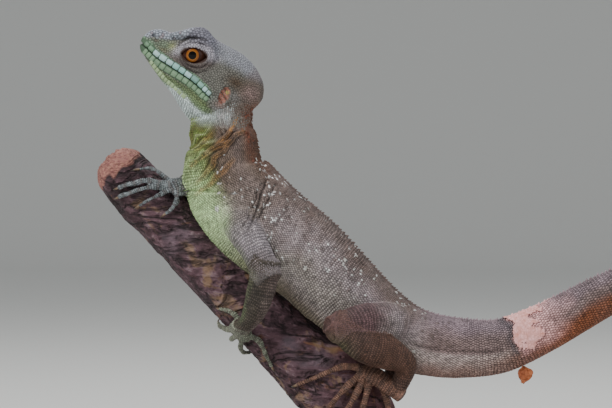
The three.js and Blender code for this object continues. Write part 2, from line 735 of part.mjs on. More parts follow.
const nodes = [
  ["head", cut(parted.before, ...eyeSockets), SKIN],
  ["eye_left", eyes[0], EYE],
  ["eye_right", eyes[1], EYE],
  ["neck", cut(parted.after, branchGrown), SKIN],
  ["torso", cut(bodyLength("shoulder", "vent", { around: 20, along: 14, crest: "shoulder" }), branchGrown), SKIN],
  ["tail_base", cut(bodyLength("vent", "tailShoulder", { around: 16, along: 10, crest: "vent" }), branchGrown), SKIN],
  ["tail_middle", bodyLength("tailShoulder", "tailDrop", { around: 12, along: 12, crest: "tailShoulder" }), SKIN],
  ["tail_end", bodyLength("tailDrop", "tip", { around: 10, along: 14 }), SKIN],
  ["branch", branch, BARK],
  ["stand_base", standBase(), WOOD],
  ["stand_rod", standRod(), STEEL],
];
for (const side of ["left", "right"]) {
  nodes.push([`upper_arm_${side}`, arms[side].upper, SKIN]);
  nodes.push([`forearm_${side}`, arms[side].lower, SKIN]);
  nodes.push([`hand_${side}`, arms[side].end, SKIN]);
  nodes.push([`thigh_${side}`, legs[side].upper, SKIN]);
  nodes.push([`shin_${side}`, legs[side].lower, SKIN]);
  nodes.push([`foot_${side}`, legs[side].end, SKIN]);
}

function meshOf(name, solid, finish) {
  const { vertProperties, triVerts } = largest(solid).getMesh();
  const geometry = new THREE.BufferGeometry();
  geometry.setAttribute("position", new THREE.BufferAttribute(new Float32Array(vertProperties), 3));
  geometry.setIndex(new THREE.BufferAttribute(new Uint32Array(triVerts), 1));
  geometry.computeVertexNormals();
  const mesh = new THREE.Mesh(geometry, new THREE.MeshStandardMaterial(finish));
  mesh.name = name;
  return mesh;
}

const basilisk = new THREE.Group();
for (const [name, solid, finish] of nodes) basilisk.add(meshOf(name, solid, finish));

export default basilisk;
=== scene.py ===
"""A green basilisk gripping a short cut branch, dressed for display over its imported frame."""

import logging
import math
from collections.abc import Callable, Sequence
from dataclasses import dataclass, field
from enum import Enum

import bmesh
import bpy
import numpy as np
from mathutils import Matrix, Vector
from mathutils.bvhtree import BVHTree
from mathutils.kdtree import KDTree


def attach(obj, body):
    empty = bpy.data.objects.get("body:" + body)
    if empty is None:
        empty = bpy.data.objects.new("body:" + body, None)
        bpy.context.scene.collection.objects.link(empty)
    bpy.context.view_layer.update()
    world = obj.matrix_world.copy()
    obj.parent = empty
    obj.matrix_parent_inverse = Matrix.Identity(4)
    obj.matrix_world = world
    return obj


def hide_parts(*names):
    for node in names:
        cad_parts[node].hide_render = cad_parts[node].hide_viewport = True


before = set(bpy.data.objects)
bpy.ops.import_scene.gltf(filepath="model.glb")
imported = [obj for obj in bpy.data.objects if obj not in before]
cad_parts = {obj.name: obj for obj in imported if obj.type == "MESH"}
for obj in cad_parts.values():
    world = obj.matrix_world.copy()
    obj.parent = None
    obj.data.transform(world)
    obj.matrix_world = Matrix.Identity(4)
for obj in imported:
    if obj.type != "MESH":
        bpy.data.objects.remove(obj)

log = logging.getLogger("basilisk")

MM = 0.001  # lengths below are millimetres until a mesh is made
ACROSS = np.array([0.0, 1.0, 0.0])
EVEN_ROWS = 60  # a form with fewer rows has them closer together at its ends
CHART_STEP = 0.0014  # how far one millimetre of a scale reaches on the unwrap
SKIN_REACH = 0.0014  # metres within which a scale must find the skin
SUBJECT = (0.0, 0.0, 0.13)  # metres, what the lights are aimed at
Array = np.ndarray


class Side(Enum):
    """The animal's own left and right, as the sign of Y."""

    LEFT = -1
    RIGHT = 1


def srgb(red: float, green: float, blue: float) -> Array:
    """Turns a colour as seen on a screen, 0 to 255, into linear light."""
    values = np.array([red, green, blue], float) / 255
    return np.where(values <= 0.04045, values / 12.92, ((values + 0.055) / 1.055) ** 2.4)


class Tone:
    """The colours of the hide, the bark and the rest."""

    BACK = srgb(112, 98, 94)
    BACK_DARK = srgb(84, 70, 66)
    FLANK = srgb(153, 141, 144)
    OLIVE = srgb(110, 114, 86)
    BELLY = srgb(128, 118, 104)
    LIME = srgb(108, 124, 62)
    CHEST = srgb(180, 208, 154)
    MINT = srgb(118, 152, 128)
    LIP = srgb(140, 186, 184)
    LIP_DEEP = srgb(96, 124, 98)
    CHEEK = srgb(96, 95, 89)
    CROWN = srgb(106, 105, 116)
    CASQUE = srgb(132, 134, 142)
    CROWN_BROWN = srgb(70, 54, 38)
    JAW = srgb(112, 132, 98)
    GULAR = srgb(186, 198, 200)
    NECK = srgb(98, 84, 74)
    NAPE = srgb(92, 66, 54)
    FOLD = srgb(158, 112, 58)
    THIGH = srgb(92, 70, 72)
    SHIN = srgb(86, 62, 52)
    FOOT = srgb(108, 80, 68)
    HAND = srgb(114, 118, 104)
    HAND_PALE = srgb(104, 110, 116)
    ARM = srgb(144, 136, 140)
    FOREARM = srgb(68, 61, 54)
    INNER = srgb(88, 100, 70)
    TAIL_TOP = srgb(124, 108, 114)
    TAIL_SIDE = srgb(120, 102, 100)
    TAIL_LOW = srgb(124, 72, 46)
    TAIL_PALE = srgb(160, 146, 142)
    SHED = srgb(246, 190, 188)
    SNOUT = srgb(140, 146, 156)
    LID = srgb(162, 158, 168)
    LID_LOW = srgb(92, 80, 78)
    WEDGE = srgb(80, 90, 58)
    CHIN = srgb(138, 158, 120)
    FOLD_PALE = srgb(156, 162, 122)
    FOLD_DARK = srgb(92, 86, 44)
    BAND = srgb(82, 76, 80)
    FLECK = srgb(216, 215, 214)
    EAR = srgb(156, 98, 80)
    CLAW = srgb(52, 42, 36)


# Numbers in space


def smooth(low: float, high: float, value: Array) -> Array:
    """Rises from 0 at low to 1 at high."""
    part = np.clip((value - low) / (high - low), 0, 1)
    return part * part * (3 - 2 * part)


def bump(centre: float, reach: float, value: Array) -> Array:
    """A bell of height 1 at centre."""
    return np.exp(-(((value - centre) / reach) ** 2))


def blend(base: Array, over: Array, mask: Array) -> Array:
    """Lays one colour over another by a mask."""
    return base + (over - base) * np.asarray(mask)[..., None]


def layered(base: Array, *layers: tuple[Array, Array]) -> Array:
    """Lays colours over one another in turn, each by its own mask."""
    for over, mask in layers:
        base = blend(base, over, mask)
    return base


def grain(points: Array, size: float, seed: int = 0) -> Array:
    """Smooth random values in space, from -1 to 1.

    Args:
        points: Places in millimetres.
        size: The distance over which the values change.
        seed: Which pattern.

    Returns:
        One value for each point.
    """
    place = points / size + seed * 17.31
    cell = np.floor(place).astype(np.int64)
    part = place - cell
    part = part * part * (3 - 2 * part)
    total = np.zeros(len(points))
    for corner in range(8):
        step = np.array([corner & 1, corner >> 1 & 1, corner >> 2 & 1])
        key = (cell + step) @ np.array([374761393, 668265263, 2147483647]) + seed * 1274126177
        key = (key ^ (key >> 13)) * 1274126177
        value = ((key ^ (key >> 16)) & 0xFFFF) / 32767.5 - 1
        total += value * np.prod(np.where(step, part, 1 - part), axis=1)
    return total


def unit(vectors: Array) -> Array:
    """Vectors of length 1 along the given ones."""
    return vectors / np.maximum(np.linalg.norm(vectors, axis=-1, keepdims=True), 1e-9)


def across(vectors: Array, along: Array) -> Array:
    """The part of each vector that stands across another, at length 1."""
    return unit(vectors - along * np.sum(vectors * along, axis=-1, keepdims=True))


def curve_at(values: Array, share: Array, reflect: bool) -> Array:
    """A Catmull-Rom curve through evenly numbered values.

    Args:
        values: One row for each knot.
        share: Where to read it, from 0 to 1.
        reflect: Whether the ends run on straight, or stay level.

    Returns:
        One row for each share.
    """
    first = 2 * values[0] - values[1] if reflect else values[0]
    last = 2 * values[-1] - values[-2] if reflect else values[-1]
    knots = np.vstack([first, values, last])
    place = np.clip(share, 0, 1) * (len(values) - 1)
    index = np.clip(np.floor(place).astype(int), 0, len(values) - 2)
    part = (place - index)[:, None]
    a, b, c, d = (knots[index + step] for step in range(4))
    rise, fall = (c - a) / 2, (d - b) / 2
    cube = 2 * b - 2 * c + rise + fall
    square = 3 * c - 3 * b - 2 * rise - fall
    return cube * part**3 + square * part**2 + rise * part + b


@dataclass
class Track:
    """A line of oval sections, which a form is wrapped round.

    Attributes:
        sections: x, y, z, reach up, reach down, half width, roof and keel fullness, a row each.
        side_at: Gives the sideways direction at places on the line.
        heading: A fixed direction, for sections that all stand parallel.
    """

    sections: Sequence[Sequence[float]]
    side_at: Callable[[Array], Array] | None = None
    heading: Array | None = None
    detail: int = 700
    table: dict[str, Array] = field(default_factory=dict)

    def __post_init__(self) -> None:
        """Reads the line once at many places."""
        rows = np.array(self.sections, float)
        share = np.linspace(0, 1, self.detail)
        centre = curve_at(rows[:, :3], share, True)
        along = unit(np.gradient(centre, axis=0))
        if self.heading is not None:
            along = np.tile(self.heading, (self.detail, 1))
        side = across(self.side_at(centre) if self.side_at else ACROSS, along)
        steps = np.linalg.norm(np.diff(centre, axis=0), axis=1)
        self.table = {
            "share": share,
            "centre": centre,
            "along": along,
            "side": side,
            "dorsal": np.cross(along, side),
            "size": curve_at(rows[:, 3:], share, False),
            "length": np.concatenate([[0], np.cumsum(steps)]),
        }

    @property
    def length(self) -> float:
        """The length of the line."""
        return float(self.table["length"][-1])

    def read(self, name: str, share: Array) -> Array:
        """Reads one column of the table between its rows."""
        values = self.table[name]
        if values.ndim == 1:
            return np.interp(share, self.table["share"], values)
        return np.stack([np.interp(share, self.table["share"], column) for column in values.T], axis=-1)

    def surface(self, share: Array, angle: Array, grow: float = 0.0, radial: Array | float = 1.0) -> Array:
        """Places on the surface.

        Args:
            share: How far along the line, from 0 to 1.
            angle: 0 at the back, turning towards the right side.
            grow: How far outside the surface.
            radial: How far out from the line, where 1 is the surface.

        Returns:
            The places.
        """
        share, angle = np.broadcast_arrays(np.asarray(share, float), np.asarray(angle, float))
        size = self.read("size", share)
        cosine, sine = np.cos(angle), np.sin(angle)
        above = cosine > 0
        reach = np.where(above, size[..., 0], size[..., 1]) + grow
        fullness = np.where(above, size[..., 3], size[..., 4])
        lateral = np.sign(sine) * np.abs(sine) ** fullness * (size[..., 2] + grow) * radial
        out = self.read("centre", share) + self.read("side", share) * lateral[..., None]
        return out + self.read("dorsal", share) * (cosine * reach * radial)[..., None]

    def shell(self, around: int, rows: int, grow: float = 0.0, domes: tuple[float, float] = (2.0, 2.0),
              start: float = 0.0, end: float = 1.0) -> tuple[Array, list[tuple[int, ...]]]:
        """A closed form round the line, with rounded ends.

        Args:
            around: Points round each section.
            rows: Sections along the line.
            grow: How far outside the surface.
            domes: How deep each rounded end is.
            start: The share where it starts.
            end: The share where it ends.

        Returns:
            The places and the faces.
        """
        length = self.length * (end - start)
        part = np.linspace(0, 1, rows + 1)
        if rows < EVEN_ROWS:
            part = 0.5 - 0.5 * np.cos(part * math.pi)

        def dome(distance: Array, depth: float) -> Array:
            """How wide a rounded end is at a distance from its tip."""
            return np.sqrt(np.clip(1 - (1 - np.clip(distance / depth, 0, 1)) ** 2, 0, 1))

        radial = dome(part * length, domes[0]) * dome((1 - part) * length, domes[1])
        share = start + (end - start) * part
        angle = np.arange(around) / around * 2 * math.pi
        grid = self.surface(share[1:-1, None], angle[None, :], grow, radial[1:-1, None]).reshape(-1, 3)
        ends = self.read("centre", share[[0, -1]])
        verts = np.vstack([grid, ends])
        faces: list[tuple[int, ...]] = []
        last = rows - 2
        for row in range(last):
            for i in range(around):
                j = (i + 1) % around
                low, high = row * around, (row + 1) * around
                faces.append((low + i, low + j, high + j, high + i))
        for i in range(around):
            j = (i + 1) % around
            faces.append((len(grid), j, i))
            faces.append((len(grid) + 1, last * around + i, last * around + j))
        return verts, faces


def mesh_piece(name: str, verts: Array, faces: Sequence[Sequence[int]]) -> bpy.types.Object:
    """Makes a mesh object at the origin from places in millimetres.

    Args:
        name: The piece's name.
        verts: The places.
        faces: The corners of each face.

    Returns:
        The new object.
    """
    mesh = bpy.data.meshes.new(name)
    if isinstance(faces, np.ndarray):
        count, width = faces.shape
        mesh.vertices.add(len(verts))
        mesh.vertices.foreach_set("co", (np.asarray(verts) * MM).astype(np.float32).ravel())
        mesh.loops.add(count * width)
        mesh.loops.foreach_set("vertex_index", faces.astype(np.int32).ravel())
        mesh.polygons.add(count)
        mesh.polygons.foreach_set("loop_start", np.arange(0, count * width, width, dtype=np.int32))
        mesh.update(calc_edges=True)
        mesh.validate()
    else:
        mesh.from_pydata((np.asarray(verts) * MM).tolist(), [], [tuple(f) for f in faces])
    piece = bpy.data.objects.new(name, mesh)
    bpy.context.scene.collection.objects.link(piece)
    return piece


@dataclass
class Cluster:
    """Closed forms gathered for one mesh."""

    verts: list[Array] = field(default_factory=list)
    faces: list[tuple[int, ...]] = field(default_factory=list)
    total: int = 0

    def add(self, places: Array, corners: Sequence[Sequence[int]]) -> None:
        """Adds one form after those before it."""
        self.verts.append(places)
        self.faces += [tuple(i + self.total for i in face) for face in corners]
        self.total += len(places)

    def piece(self, name: str) -> bpy.types.Object:
        """Makes a mesh object of all the forms."""
        return mesh_piece(name, np.vstack(self.verts), self.faces)


def face_outwards(piece: bpy.types.Object) -> None:
    """Drops loose vertices and turns the faces of a closed piece outwards."""
    body = bmesh.new()
    body.from_mesh(piece.data)
    loose = [vert for vert in body.verts if not vert.link_faces]
    if loose:
        bmesh.ops.delete(body, geom=loose, context="VERTS")
    bmesh.ops.recalc_face_normals(body, faces=body.faces)
    body.to_mesh(piece.data)
    body.free()


def look_up(places: Array) -> KDTree:
    """A tree that finds the nearest of some places."""
    tree = KDTree(len(places))
    for index, place in enumerate(places):
        tree.insert(place, index)
    tree.balance()
    return tree


def nearest(tree: KDTree, places: Array) -> Array:
    """Which of a tree's places is nearest to each place."""
    return np.array([tree.find(place)[1] for place in places], int)


def only(piece: bpy.types.Object) -> None:
    """Selects one object and makes it the active one."""
    bpy.ops.object.select_all(action="DESELECT")
    piece.select_set(True)
    bpy.context.view_layer.objects.active = piece


def modify(piece: bpy.types.Object, kind: str, **settings: object) -> None:
    """Adds a modifier to a piece and applies it."""
    only(piece)
    modifier = piece.modifiers.new(kind.lower(), kind)
    for name, value in settings.items():
        setattr(modifier, name, value)
    bpy.ops.object.modifier_apply(modifier=modifier.name)


def points_of(piece: bpy.types.Object) -> Array:
    """The places of a piece's vertices, in millimetres."""
    values = np.empty(len(piece.data.vertices) * 3, np.float32)
    piece.data.vertices.foreach_get("co", values)
    return values.reshape(-1, 3).astype(float) / MM


def move_points(piece: bpy.types.Object, places: Array) -> None:
    """Puts a piece's vertices at new places, in millimetres."""
    piece.data.vertices.foreach_set("co", (places * MM).astype(np.float32).ravel())
    piece.data.update()


def normals_of(piece: bpy.types.Object) -> Array:
    """The normals at a piece's vertices."""
    values = np.empty(len(piece.data.vertices) * 3, np.float32)
    piece.data.vertex_normals.foreach_get("vector", values)
    return values.reshape(-1, 3).astype(float)


def tint(piece: bpy.types.Object, colours: Array) -> None:
    """Stores one colour for each vertex, in linear light."""
    layer = piece.data.attributes.new("tint", "FLOAT_COLOR", "POINT")
    full = np.ones((len(colours), 4), np.float32)
    full[:, :3] = np.clip(colours, 0, 1)
    layer.data.foreach_set("color", full.ravel())


def measure(piece: bpy.types.Object, name: str, values: Array) -> None:
    """Stores one number for each vertex."""
    layer = piece.data.attributes.new(name, "FLOAT", "POINT")
    layer.data.foreach_set("value", np.asarray(values, np.float32))


def settle(piece: bpy.types.Object, slot: str, material: bpy.types.Material, *nodes: str) -> bpy.types.Object:
    """Gives a finished piece its body and material, and hides the nodes it stands for."""
    piece.data.materials.clear()
    piece.data.materials.append(material)
    piece.data.polygons.foreach_set("use_smooth", np.ones(len(piece.data.polygons), bool))
    piece.data.update()
    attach(piece, "root")
    if nodes:
        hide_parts(*nodes)
    piece.data.calc_loop_triangles()
    log.info("%s: %d triangles", piece.name, len(piece.data.loop_triangles))
    return piece


# Finishes


class Value:
    """A shader number that Python's operators extend with Math nodes."""

    def __init__(self, tree: bpy.types.NodeTree, socket: bpy.types.NodeSocket) -> None:
        """Wraps a socket of a tree."""
        self.tree = tree
        self.socket = socket

    def math(self, operation: str, *others: "Value | float", flip: bool = False,
             clamp: bool = False) -> "Value":
        """Adds a Math node.

        Args:
            operation: The Math node's operation.
            others: The other operands.
            flip: Whether this value comes second.
            clamp: Whether the result stays within 0 and 1.

        Returns:
            The node's value.
        """
        node = self.tree.nodes.new("ShaderNodeMath")
        node.operation = operation
        node.use_clamp = clamp
        operands = [self, *others]
        if flip:
            operands.reverse()
        for place, operand in zip(node.inputs, operands):
            if isinstance(operand, Value):
                self.tree.links.new(operand.socket, place)
            else:
                place.default_value = operand
        return Value(self.tree, node.outputs[0])

    def __add__(self, other: "Value | float") -> "Value":
        """Sum."""
        return self.math("ADD", other)

    __radd__ = __add__

    def __mul__(self, other: "Value | float") -> "Value":
        """Product."""
        return self.math("MULTIPLY", other)

    __rmul__ = __mul__

    def __sub__(self, other: "Value | float") -> "Value":
        """Difference."""
        return self.math("SUBTRACT", other)

    def __rsub__(self, other: float) -> "Value":
        """Difference from a number."""
        return self.math("SUBTRACT", other, flip=True)

    def __truediv__(self, other: "Value | float") -> "Value":
        """Quotient."""
        return self.math("DIVIDE", other)

    def between(self, low: float, high: float) -> "Value":
        """Rises from 0 at low to 1 at high."""
        return ((self - low) / (high - low)).math("ADD", 0.0, clamp=True)


class Recipe:
    """Builds the nodes of one material."""

    def __init__(self, name: str) -> None:
        """Starts a material with its surface shader."""
        self.material = bpy.data.materials.new(name)
        self.material.use_nodes = True
        self.tree = self.material.node_tree
        self.shader = next(n for n in self.tree.nodes if n.type == "BSDF_PRINCIPLED")
        self.place = self.node("ShaderNodeTexCoord").outputs["Object"]

    def node(self, kind: str, settings: dict[str, object] | None = None,
             inputs: dict[str, object] | None = None) -> bpy.types.Node:
        """Adds a node.

        Args:
            kind: The node's type.
            settings: Its own properties, set first.
            inputs: A value or a link for each named socket.

        Returns:
            The node.
        """
        node = self.tree.nodes.new(kind)
        for name, value in (settings or {}).items():
            if name == "stops":
                elements = node.color_ramp.elements
                for index, (at, colour) in enumerate(value):
                    element = elements[index] if index < 2 else elements.new(at)
                    element.position = at
                    element.color = (*colour, 1)
            else:
                setattr(node, name, value)
        for name, value in (inputs or {}).items():
            self.feed(node.inputs[name], value)
        return node

    def feed(self, place: bpy.types.NodeSocket, value: object) -> None:
        """Sets a socket to a number or colour, or links it."""
        if isinstance(value, Value):
            value = value.socket
        if isinstance(value, bpy.types.NodeSocket):
            self.tree.links.new(value, place)
        elif isinstance(value, np.ndarray):
            place.default_value = (*value, 1)
        else:
            place.default_value = value

    def noise(self, scale: float, detail: float = 3.0, rough: float = 0.5, warp: float = 0.0,
              at: bpy.types.NodeSocket | None = None) -> Value:
        """A noise value in the object's own space."""
        node = self.node("ShaderNodeTexNoise", None, {
            "Vector": at or self.place, "Scale": scale, "Detail": detail, "Roughness": rough,
            "Distortion": warp})
        return Value(self.tree, node.outputs[0])

    def cells(self, scale: float, feature: str = "F1", output: str = "Distance") -> Value:
        """A cell pattern in the object's own space."""
        node = self.node("ShaderNodeTexVoronoi", {"feature": feature}, {"Vector": self.place, "Scale": scale})
        return Value(self.tree, node.outputs[output])

    def stored(self, name: str, output: str = "Color") -> bpy.types.NodeSocket:
        """An attribute of the piece."""
        return self.node("ShaderNodeAttribute", {"attribute_name": name}).outputs[output]

    def number(self, name: str) -> Value:
        """A number stored on the piece."""
        return Value(self.tree, self.stored(name, "Fac"))

    def stretched(self, scale: tuple[float, float, float], turn: float = 0.0) -> bpy.types.NodeSocket:
        """The object's own space, turned about Y and scaled."""
        return self.node("ShaderNodeMapping", None, {
            "Vector": self.place, "Rotation": (0, turn, 0), "Scale": scale}).outputs[0]

    def ramp(self, factor: Value, *stops: tuple[float, Array]) -> bpy.types.NodeSocket:
        """A colour read off a row of stops."""
        return self.node("ShaderNodeValToRGB", {"stops": stops}, {"Fac": factor}).outputs[0]

    def mix(self, factor: Value | float, first: object, second: object,
            way: str = "MIX") -> bpy.types.NodeSocket:
        """Mixes two colours."""
        node = self.node("ShaderNodeMix", {"data_type": "RGBA", "blend_type": way})
        self.feed(node.inputs[0], factor)
        self.feed(node.inputs[6], first)
        self.feed(node.inputs[7], second)
        return node.outputs[2]

    def relief(self, height: Value, distance: float, strength: float = 1.0) -> None:
        """Feeds a height to the shader's normal."""
        node = self.node("ShaderNodeBump", None, {
            "Height": height, "Distance": distance, "Strength": strength})
        self.feed(self.shader.inputs["Normal"], node.outputs[0])

    def finish(self, **sockets: object) -> bpy.types.Material:
        """Feeds the shader's named sockets, where an underscore is a space."""
        for name, value in sockets.items():
            self.feed(self.shader.inputs[name.replace("_", " ")], value)
        return self.material


@dataclass(frozen=True)
class Hide:
    """Dry skin that takes its markings from the piece."""

    name: str
    shade: float = 1.0
    roughness: float = 0.58
    fine: float = 1500.0

    def make(self) -> bpy.types.Material:
        """Builds the material."""
        recipe = Recipe(self.name)
        mottle = recipe.noise(self.fine, 3, 0.6)
        broad = recipe.noise(170, 3, 0.6)
        level = (0.72 + mottle * 0.36 + broad * 0.22) * self.shade
        grey = recipe.node("ShaderNodeCombineColor", None, {"Red": level, "Green": level, "Blue": level})
        colour = recipe.mix(1.0, recipe.stored("tint"), grey.outputs[0], "MULTIPLY")
        recipe.relief(recipe.noise(self.fine * 1.6, 2), 0.00006, 0.7)
        return recipe.finish(Base_Color=colour, Roughness=self.roughness - 0.12 + mottle * 0.24,
                             Specular_IOR_Level=0.3)


@dataclass(frozen=True)
class Horn:
    """Dark translucent horn, paler at the root."""

    name: str = "claw horn"

    def make(self) -> bpy.types.Material:
        """Builds the material."""
        recipe = Recipe(self.name)
        streak = recipe.noise(1200, 2)
        reach = recipe.number("reach")
        colour = recipe.mix(reach.between(0.1, 0.8), srgb(132, 108, 84), Tone.CLAW)
        colour = recipe.mix(streak * 0.5, colour, srgb(44, 34, 28))
        recipe.relief(streak, 0.00003)
        return recipe.finish(Base_Color=colour, Roughness=0.3 + streak * 0.1)


@dataclass(frozen=True)
class Iris:
    """A wet eye: black round pupil, gold and rust iris, dark surround."""

    name: str = "eye"
    pupil: float = 1.5
    iris: float = 2.6

    def make(self) -> bpy.types.Material:
        """Builds the material."""
        recipe = Recipe(self.name)
        ring = recipe.number("ring")
        spoke = recipe.noise(2600, 4, 0.7, 0.6)
        wobble = ring + (spoke - 0.5) * 0.35
        span = self.iris + 1.6
        colour = recipe.ramp(
            wobble / span,
            (0.0, srgb(4, 3, 3)),
            (self.pupil / span, srgb(5, 4, 4)),
            ((self.pupil + 0.1) / span, srgb(164, 106, 44)),
            ((self.pupil + 0.4) / span, srgb(134, 82, 32)),
            ((self.iris - 0.3) / span, srgb(134, 76, 26)),
            (self.iris / span, srgb(40, 20, 16)),
            ((self.iris + 0.5) / span, srgb(58, 33, 26)),
            (1.0, srgb(70, 42, 32)))
        colour = recipe.mix(spoke.between(0.55, 0.75) * 0.5, colour, srgb(60, 30, 14), "MULTIPLY")
        return recipe.finish(Base_Color=colour, Roughness=0.14, Coat_Weight=0.28, Coat_Roughness=0.03,
                             Coat_IOR=1.3, Specular_IOR_Level=0.12)


@dataclass(frozen=True)
class Flake:
    """Thin dry shed skin, matte and wrinkled."""

    name: str
    colour: tuple[float, float, float]
    stain: tuple[float, float, float]

    def make(self) -> bpy.types.Material:
        """Builds the material."""
        recipe = Recipe(self.name)
        cloud = recipe.noise(420, 4, 0.6)
        net = recipe.cells(900, "DISTANCE_TO_EDGE")
        colour = recipe.mix(cloud.between(0.35, 0.75), np.array(self.colour), np.array(self.stain))
        # Painted shade: the creases of the wrinkled net are darkened.
        colour = recipe.mix((1 - net.between(0.0, 0.16)) * 0.35, colour, np.array(self.stain) * 0.6)
        recipe.relief(net.between(0.0, 0.3) + cloud * 0.6, 0.00012)
        return recipe.finish(Base_Color=colour, Roughness=0.7)


@dataclass(frozen=True)
class Bark:
    """Weathered bark: purple-brown, worn to tan, with pits and a few pale grey-mauve patches."""

    name: str = "bark"

    def make(self) -> bpy.types.Material:
        """Builds the material."""
        recipe = Recipe(self.name)
        stretch = recipe.stretched((0.35, 1, 1), math.radians(Perch.slope))
        fibre = recipe.noise(420, 5, 0.65, 0.4, stretch)
        cloud = recipe.noise(75, 4, 0.6, 0.5)
        worn = recipe.noise(120, 5, 0.7, 0.8, stretch)
        pits = recipe.cells(330)
        pocked = recipe.noise(150, 3).between(0.46, 0.6)
        fissure = (recipe.noise(80, 4, 0.6, 0.7, stretch) - 0.5).math("ABSOLUTE").between(0.0, 0.05)
        colour = recipe.ramp(
            fibre * 0.55 + cloud * 0.45, (0.32, srgb(30, 20, 24)), (0.44, srgb(62, 43, 48)),
            (0.54, srgb(96, 70, 78)), (0.64, srgb(140, 118, 124)))
        split = recipe.node("ShaderNodeSeparateXYZ", None, {"Vector": recipe.place})
        onward = Value(recipe.tree, split.outputs["X"])
        colour = recipe.mix(onward.between(-0.012, 0.03) * 0.5, colour, srgb(106, 52, 44))
        colour = recipe.mix(worn.between(0.6, 0.67) * 0.65, colour, srgb(132, 92, 66))
        colour = recipe.mix(cloud.between(0.58, 0.64) * 0.6, colour, srgb(140, 112, 78))
        colour = recipe.mix(recipe.noise(60, 3).between(0.58, 0.75) * 0.3, colour, srgb(132, 122, 134))
        colour = recipe.mix((1 - pits.between(0.1, 0.3)) * pocked * 0.85, colour, srgb(28, 18, 20))
        colour = recipe.mix((1 - fissure) * 0.8, colour, srgb(26, 17, 19))
        cut = recipe.number("cut")
        wood = recipe.noise(900, 4, 0.7).between(0.35, 0.7)
        wood = recipe.mix(wood, srgb(184, 132, 116), srgb(116, 66, 70))
        colour = recipe.mix(cut.between(0.3, 0.7), colour, wood)
        recipe.relief(fibre + pits.between(0.05, 0.3) * 0.4 + worn * 0.7 + fissure * 0.7, 0.0016)
        return recipe.finish(Base_Color=colour, Roughness=0.62 + fibre * 0.3, Specular_IOR_Level=0.35)


@dataclass(frozen=True)
class StainedWood:
    """Satin dark wood with a straight grain."""

    name: str = "stained wood"

    def make(self) -> bpy.types.Material:
        """Builds the material."""
        recipe = Recipe(self.name)
        stretch = recipe.stretched((0.08, 1, 1))
        figure = recipe.noise(160, 6, 0.6, 0.8, stretch)
        pores = recipe.noise(1500, 2, 0.5, 0.0, stretch)
        colour = recipe.ramp(
            figure, (0.3, srgb(38, 27, 22)), (0.5, srgb(62, 43, 33)), (0.7, srgb(84, 60, 44)))
        colour = recipe.mix(pores.between(0.6, 0.7) * 0.6, colour, srgb(24, 17, 14))
        recipe.relief(figure * 0.5 - pores * 0.5, 0.0001)
        return recipe.finish(Base_Color=colour, Roughness=0.38 + figure * 0.12, Coat_Weight=0.25,
                             Coat_Roughness=0.2)


@dataclass(frozen=True)
class BrushedSteel:
    """Steel drawn along its length."""

    name: str = "brushed steel"

    def make(self) -> bpy.types.Material:
        """Builds the material."""
        recipe = Recipe(self.name)
        lines = recipe.noise(2500, 3, 0.6, 0.0, recipe.stretched((1, 1, 0.05)))
        recipe.relief(lines, 0.00004)
        return recipe.finish(Base_Color=recipe.mix(lines, srgb(176, 177, 178), srgb(206, 207, 208)),
                             Metallic=1.0, Roughness=0.24 + lines * 0.14)


# The branch


